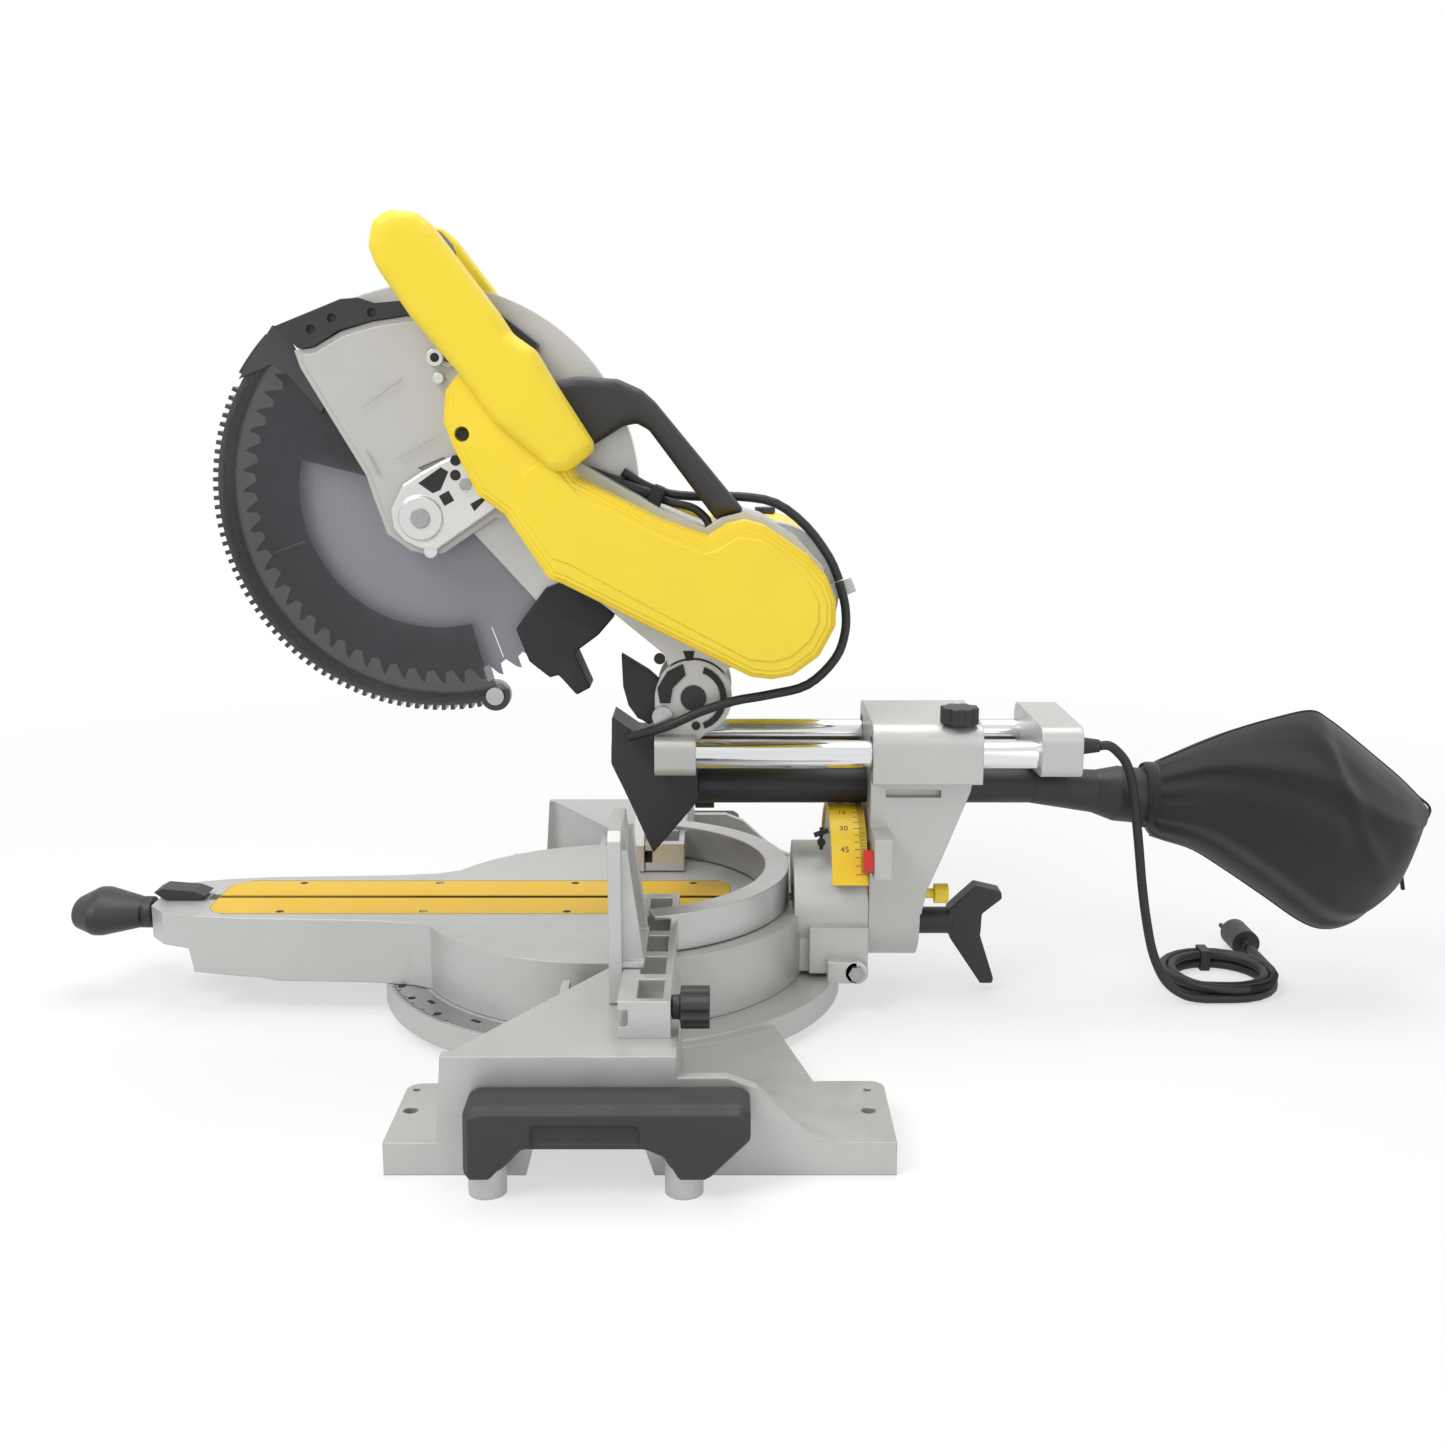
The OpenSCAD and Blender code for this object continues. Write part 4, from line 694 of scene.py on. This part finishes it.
def rib(bm, a, b, x0, x1, wide):
    """A straight raised line from a to b, both (y, z)."""
    (ya, za), (yb, zb) = a, b
    turn = Matrix.Rotation(math.atan2(zb - za, yb - ya), 4, "X")
    middle = Vector(((x0 + x1) / 2, (ya + yb) / 2, (za + zb) / 2)) * MM
    size = Matrix.Diagonal((x1 - x0, math.hypot(yb - ya, zb - za), wide, 1))
    bmesh.ops.create_cube(bm, size=MM, matrix=Matrix.Translation(middle) @ turn @ size)


def guard_front():
    """Dark front edge of the lower guard, on its near wall."""
    bm = bmesh.new()
    add_plate(bm, [
        (-286, 537), (-279, 535), (-270, 521), (-261, 502), (-248, 479), (-252, 471), (-264, 486),
        (-276, 500), (-288, 508), (-314, 497),
    ], 15.8, 17.6, 0.5)
    trim("guard_nose", bm, "smoke_edge", "lower_guard")


def belt_cover_details():
    """Raised panel and screws of the yellow belt cover."""
    bm = bmesh.new()
    add_plate(bm, [
        (-72, 366), (-60, 362), (74, 290), (92, 288), (106, 292), (120, 304), (127, 318), (127, 334),
        (118, 350), (98, 370), (84, 380), (66, 382), (50, 372), (40, 370), (10, 382), (-50, 412), (-76, 440),
        (-92, 428), (-96, 400),
    ], 74.6, 76.2, 1.2)
    trim("cover_panel", bm, "yellow", "head")
    bm = bmesh.new()
    for y, z in [(-136, 457), (-87, 414), (110, 311)]:
        add_rod(bm, y, z, 69.1, 71.5, 4.6)
    trim("cover_screws", bm, "dark", "head")


# the chop hinge's axis
HINGE_Y = 32
HINGE_Z = 254


def pivot_details():
    """Rubber buffer of the chop hinge, and painted shade in its cast slots and in recesses of the arm beside
    it.
    """
    bm = bmesh.new()
    add_plate(bm, [
        (-24, 287), (-3, 274), (8, 264), (9, 239), (-3, 232), (-12, 237), (-19, 247), (-23, 262),
    ], 20, 34, 1.5)
    trim("hinge_buffer", bm, "chute", "carriage")
    # painted shade: thin near-black plates where the hinge casting's slots and pocket are
    bm = bmesh.new()
    sweep = [math.radians(a) for a in range(-70, 71, 14)]
    arc = [(21, a) for a in sweep] + [(26, a) for a in reversed(sweep)]
    add_plate(bm, [(HINGE_Y + r * math.cos(a), HINGE_Z + r * math.sin(a)) for r, a in arc], 39.3, 39.8)
    add_plate(bm, [(4, 262), (12, 275), (24, 281), (26, 272), (16, 262), (14, 250), (6, 250)], 39.3, 39.8)
    add_rod(bm, 34, 232, 39.3, 39.8, 3.4)
    trim("hinge_slot_painted_shade", bm, "dark", "carriage")
    # painted shade: thin near-black plates in the arm's recesses
    bm = bmesh.new()
    add_rod(bm, 6, 285, 38.4, 38.9, 4.5)
    add_plate(bm, [(24, 291), (33, 291), (32, 284), (27, 283)], 38.4, 38.9)
    trim("arm_recess_painted_shade", bm, "dark", "head")


def tube_piece(name, points, radius, finish, body):
    """A short fixed cable or sleeve along points in millimetres."""
    route = [p * MM for p in smooth_route(points, 6)]
    obj = curve_tube(name, route, radius * MM, FINISH[finish], 2)
    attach(obj, body)


def head_cables():
    """Sleeved cables on top of the arm, with their clip."""
    tube_piece(
        "arm_cable_sleeve", [(22, -60, 431), (20, -40, 424), (18, -22, 417), (16, 4, 408)], 5.0, "rubber",
        "head",
    )
    tube_piece(
        "arm_cable_tail", [(19, 2, 408.5), (22, 16, 404), (24, 32, 400), (26, 42, 392), (27, 45, 384)], 3.2,
        "rubber", "head",
    )
    bm = bmesh.new()
    add_block(bm, (6, -2, 399), (30, 9, 417), Matrix.Rotation(-0.4, 4, "X"))
    round_edges(bm, bm.edges[:], 2.5)
    trim("cable_clip", bm, "dark", "head")


def add_disc(bm, x, y, z, radius, height, segments=20):
    """An upright round plug whose top is at z."""
    bmesh.ops.create_cone(
        bm, cap_ends=True, segments=segments, radius1=radius * MM, radius2=radius * MM, depth=height * MM,
        matrix=Matrix.Translation(Vector((x, y, z - height / 2)) * MM),
    )


# the turntable's axis, and the rings of the miter plate round it
PIVOT_Y = -35
DETENT_RING = 177
SLOT_RING = 168
LINE_END = 184.6


def on_plate(degrees, reach, z):
    """A point of the miter plate, reach millimetres from its axis; 0 degrees points at the operator."""
    a = math.radians(270 + degrees)
    return Vector((reach * math.cos(a), PIVOT_Y + reach * math.sin(a), z))


def add_plate_bar(bm, degrees, reach, z, size):
    """A small bar on the miter plate, turned to point away from its axis."""
    turn = Matrix.Rotation(math.radians(270 + degrees), 4, "Z")
    place = Matrix.Translation(on_plate(degrees, reach, z) * MM)
    bmesh.ops.create_cube(bm, size=MM, matrix=place @ turn @ Matrix.Diagonal((*size, 1)))


def miter_scale():
    """Painted shade in the miter plate's detent holes and slots, and its degree lines."""
    bm = bmesh.new()
    # painted shade: thin dark discs and bars down in the detent holes and slots
    for degrees in [-45, -31.6, -22.5, -15, 0, 15, 22.5, 31.6, 45]:
        spot = on_plate(degrees, DETENT_RING, 27.3)
        add_disc(bm, *spot, 3.1, 0.6)
    for degrees in [-56, -37, -9, 9, 37, 56]:
        add_plate_bar(bm, degrees, SLOT_RING, 27.1, (3.9, 8.9, 0.5))
    trim("detent_painted_shade", bm, "dark", "base")
    bm = bmesh.new()
    for degrees in range(-50, 51):
        long = 5.5 if degrees % 5 == 0 else 3.0
        add_plate_bar(bm, degrees, LINE_END - long / 2, 28.05, (long, 0.5, 0.15))
    trim("miter_lines", bm, "mark", "base")


def number_mesh(bm, text, size, matrix):
    """Adds a printed number, flat in its own XY plane, placed by matrix (metres)."""
    data = bpy.data.curves.new("number", "FONT")
    data.body = text
    data.size = size * MM
    data.align_x = data.align_y = "CENTER"
    data.extrude = 0.06 * MM
    data.resolution_u = 3
    flat = baked_mesh(new_object("number", data))
    flat.transform(matrix)
    bm.from_mesh(flat)
    bpy.data.meshes.remove(flat)


TABLE_TOP = 80
# the printed face of the bevel scale, round an axis along Y at the table top
SCALE_RADIUS = 79.85
# where its long lines start and its numbers stand, along Y
SCALE_FRONT = 167.5
NUMBER_Y = 150.5


def bevel_scale_print():
    """Degree lines and numbers printed round the yellow bevel scale."""
    bm = bmesh.new()
    for degrees in range(-60, 61):
        a = math.radians(90 + degrees)
        long = 9.0 if degrees % 5 == 0 else 5.0
        middle = Vector(
            (SCALE_RADIUS * math.cos(a), SCALE_FRONT - long / 2, TABLE_TOP + SCALE_RADIUS * math.sin(a))
        ) * MM
        size = Matrix.Diagonal((0.14, long, 0.45, 1))
        turn = Matrix.Rotation(-a, 4, "Y")
        bmesh.ops.create_cube(bm, size=MM, matrix=Matrix.Translation(middle) @ turn @ size)
    for degrees in range(-45, 46, 15):
        a = math.radians(90 + degrees)
        middle = Vector((SCALE_RADIUS * math.cos(a), NUMBER_Y, TABLE_TOP + SCALE_RADIUS * math.sin(a))) * MM
        # text reads along Y, standing out from the curved face
        out = Vector((math.cos(a), 0, math.sin(a)))
        along = Vector((0, 1, 0))
        up = out.cross(along)
        standing = Matrix((along, up, out)).transposed().to_4x4()
        number_mesh(bm, str(abs(degrees)), 7.0, Matrix.Translation(middle) @ standing)
    trim("bevel_scale_print", bm, "mark", "table")


def table_details():
    """Outline of the kerf insert, its screws, and the bolt and wing screw of the bevel stops."""
    bm = bmesh.new()
    for side in (-1, 1):
        add_block(bm, (side * 44.25 - 0.35, -346, 79.9), (side * 44.25 + 0.35, 52, 80.06))
    trim("insert_gap_lines", bm, "dark", "table")
    bm = bmesh.new()
    # the screws stand in rows, a few millimetres apart in a screw's own points
    rows = sorted({round(v.co.y / MM / 10) * 10 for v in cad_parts["kerf_screws"].data.vertices})
    for y in rows:
        for side in (-1, 1):
            add_disc(bm, side * 38, y, 79.7, 2.9, 0.3, 16)
    trim("insert_screw_heads", bm, "dark", "table")
    bm = bmesh.new()
    add_rod(bm, 161, 36, 44, 60, 9.5, 32)
    add_block(bm, (44, 138, 27), (60, 162, 45))
    round_edges(bm, bm.edges[:], 1.0, 2)
    trim("stop_bolt_ear", bm, "cast", "table", smooth=True)
    bm = bmesh.new()
    add_rod(bm, 161, 36, 60, 64, 6.6, 6)
    trim("stop_bolt", bm, "zinc", "table")
    bm = bmesh.new()
    add_rod(bm, 133, 138, 38, 42, 3.2, 20)
    add_block(bm, (38.5, 127, 144), (41.5, 139, 147.5), Matrix.Rotation(0.35, 4, "X"))
    add_block(bm, (39, 131.5, 132), (41, 134.5, 150))
    trim("stop_wing_screw", bm, "dark", "table")


for make in (
    gear_case_details, guard_front, belt_cover_details, pivot_details, head_cables, miter_scale,
    bevel_scale_print, table_details,
):
    make()


# ---- finishes on the frame's nodes -----------------------------------------------------------


def paint_nodes():
    """Gives every CAD node its finish."""
    for finish, names in NODE_FINISH.items():
        for name in names:
            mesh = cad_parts[name].data
            mesh.materials.clear()
            mesh.materials.append(FINISH[finish])


paint_nodes()


# ---- studio ----------------------------------------------------------------------------------


# strength of the surround as light, and the share of the floor's own white near the saw; further out,
# between two distances in metres, the floor fades to the white surround
WORLD_LIGHT = 0.38
FLOOR_GLOW = 0.6
FADE_START = 0.45
FADE_END = 1.5


def area_light(name, place, target, size, power):
    """A square lamp that faces target; sizes in metres, power in watts."""
    data = bpy.data.lights.new(name, "AREA")
    data.energy = power
    data.size = size
    lamp = bpy.data.objects.new(name, data)
    lamp.location = place
    lamp.rotation_euler = (Vector(target) - Vector(place)).to_track_quat("-Z", "Y").to_euler()
    bpy.context.scene.collection.objects.link(lamp)


def seen_rays(tree):
    """1 for rays from the camera, in reflections and through clear plastic, 0 for lighting."""
    rays = node(tree, "ShaderNodeLightPath")
    either = node(tree, "ShaderNodeMath", operation="MAXIMUM")
    tree.links.new(rays.outputs["Is Camera Ray"], either.inputs[0])
    tree.links.new(rays.outputs["Is Glossy Ray"], either.inputs[1])
    last = node(tree, "ShaderNodeMath", operation="MAXIMUM")
    tree.links.new(either.outputs[0], last.inputs[0])
    tree.links.new(rays.outputs["Is Transmission Ray"], last.inputs[1])
    return last.outputs[0]


def studio_world():
    """An even pale surround that lights the saw softly and is white where it is seen."""
    world = bpy.data.worlds.new("studio")
    bpy.context.scene.world = world
    world.use_nodes = True
    tree = world.node_tree
    tree.nodes.clear()
    lit = node(tree, "ShaderNodeBackground", Color=srgb("FFFFFF"), Strength=WORLD_LIGHT)
    shown = node(tree, "ShaderNodeBackground", Color=srgb("FFFFFF"), Strength=1.0)
    mixed = node(tree, "ShaderNodeMixShader", Fac=seen_rays(tree))
    tree.links.new(lit.outputs[0], mixed.inputs[1])
    tree.links.new(shown.outputs[0], mixed.inputs[2])
    out = node(tree, "ShaderNodeOutputWorld")
    tree.links.new(mixed.outputs[0], out.inputs["Surface"])


def pale_floor():
    """White bench top that keeps the saw's shadow and fades into the white surround."""
    bm = bmesh.new()
    bmesh.ops.create_grid(bm, x_segments=1, y_segments=1, size=30.0)
    floor = from_bmesh("floor", bm, smooth=False)
    mat, tree, shader, place = material("pale floor", Roughness=0.9)
    shader.inputs["Base Color"].default_value = srgb("F2F2F2")
    shader.inputs["Specular IOR Level"].default_value = 0.0
    spread = node(tree, "ShaderNodeVectorMath", operation="LENGTH", Vector=place)
    fade = node(
        tree, "ShaderNodeMapRange", Value=spread.outputs["Value"], From_Min=FADE_START,
        From_Max=FADE_END, To_Min=FLOOR_GLOW, To_Max=1.0,
    )
    share = node(tree, "ShaderNodeMath", operation="MULTIPLY")
    tree.links.new(seen_rays(tree), share.inputs[0])
    tree.links.new(fade.outputs[0], share.inputs[1])
    glow = node(tree, "ShaderNodeEmission", Color=srgb("FFFFFF"), Strength=1.0)
    mixed = node(tree, "ShaderNodeMixShader", Fac=share.outputs[0])
    tree.links.new(shader.outputs[0], mixed.inputs[1])
    tree.links.new(glow.outputs[0], mixed.inputs[2])
    tree.links.new(mixed.outputs[0], tree.nodes["Material Output"].inputs["Surface"])
    floor.data.materials.append(mat)


bpy.context.scene.view_settings.view_transform = "Standard"
studio_world()
pale_floor()
area_light("key", (1.3, -1.3, 2.1), (0, 0, 0.2), 1.2, 36)
area_light("fill", (2.0, 1.5, 0.9), (0, 0.1, 0.2), 1.8, 10)
area_light("top", (-0.4, 0.1, 2.4), (0, 0, 0.2), 1.6, 30)
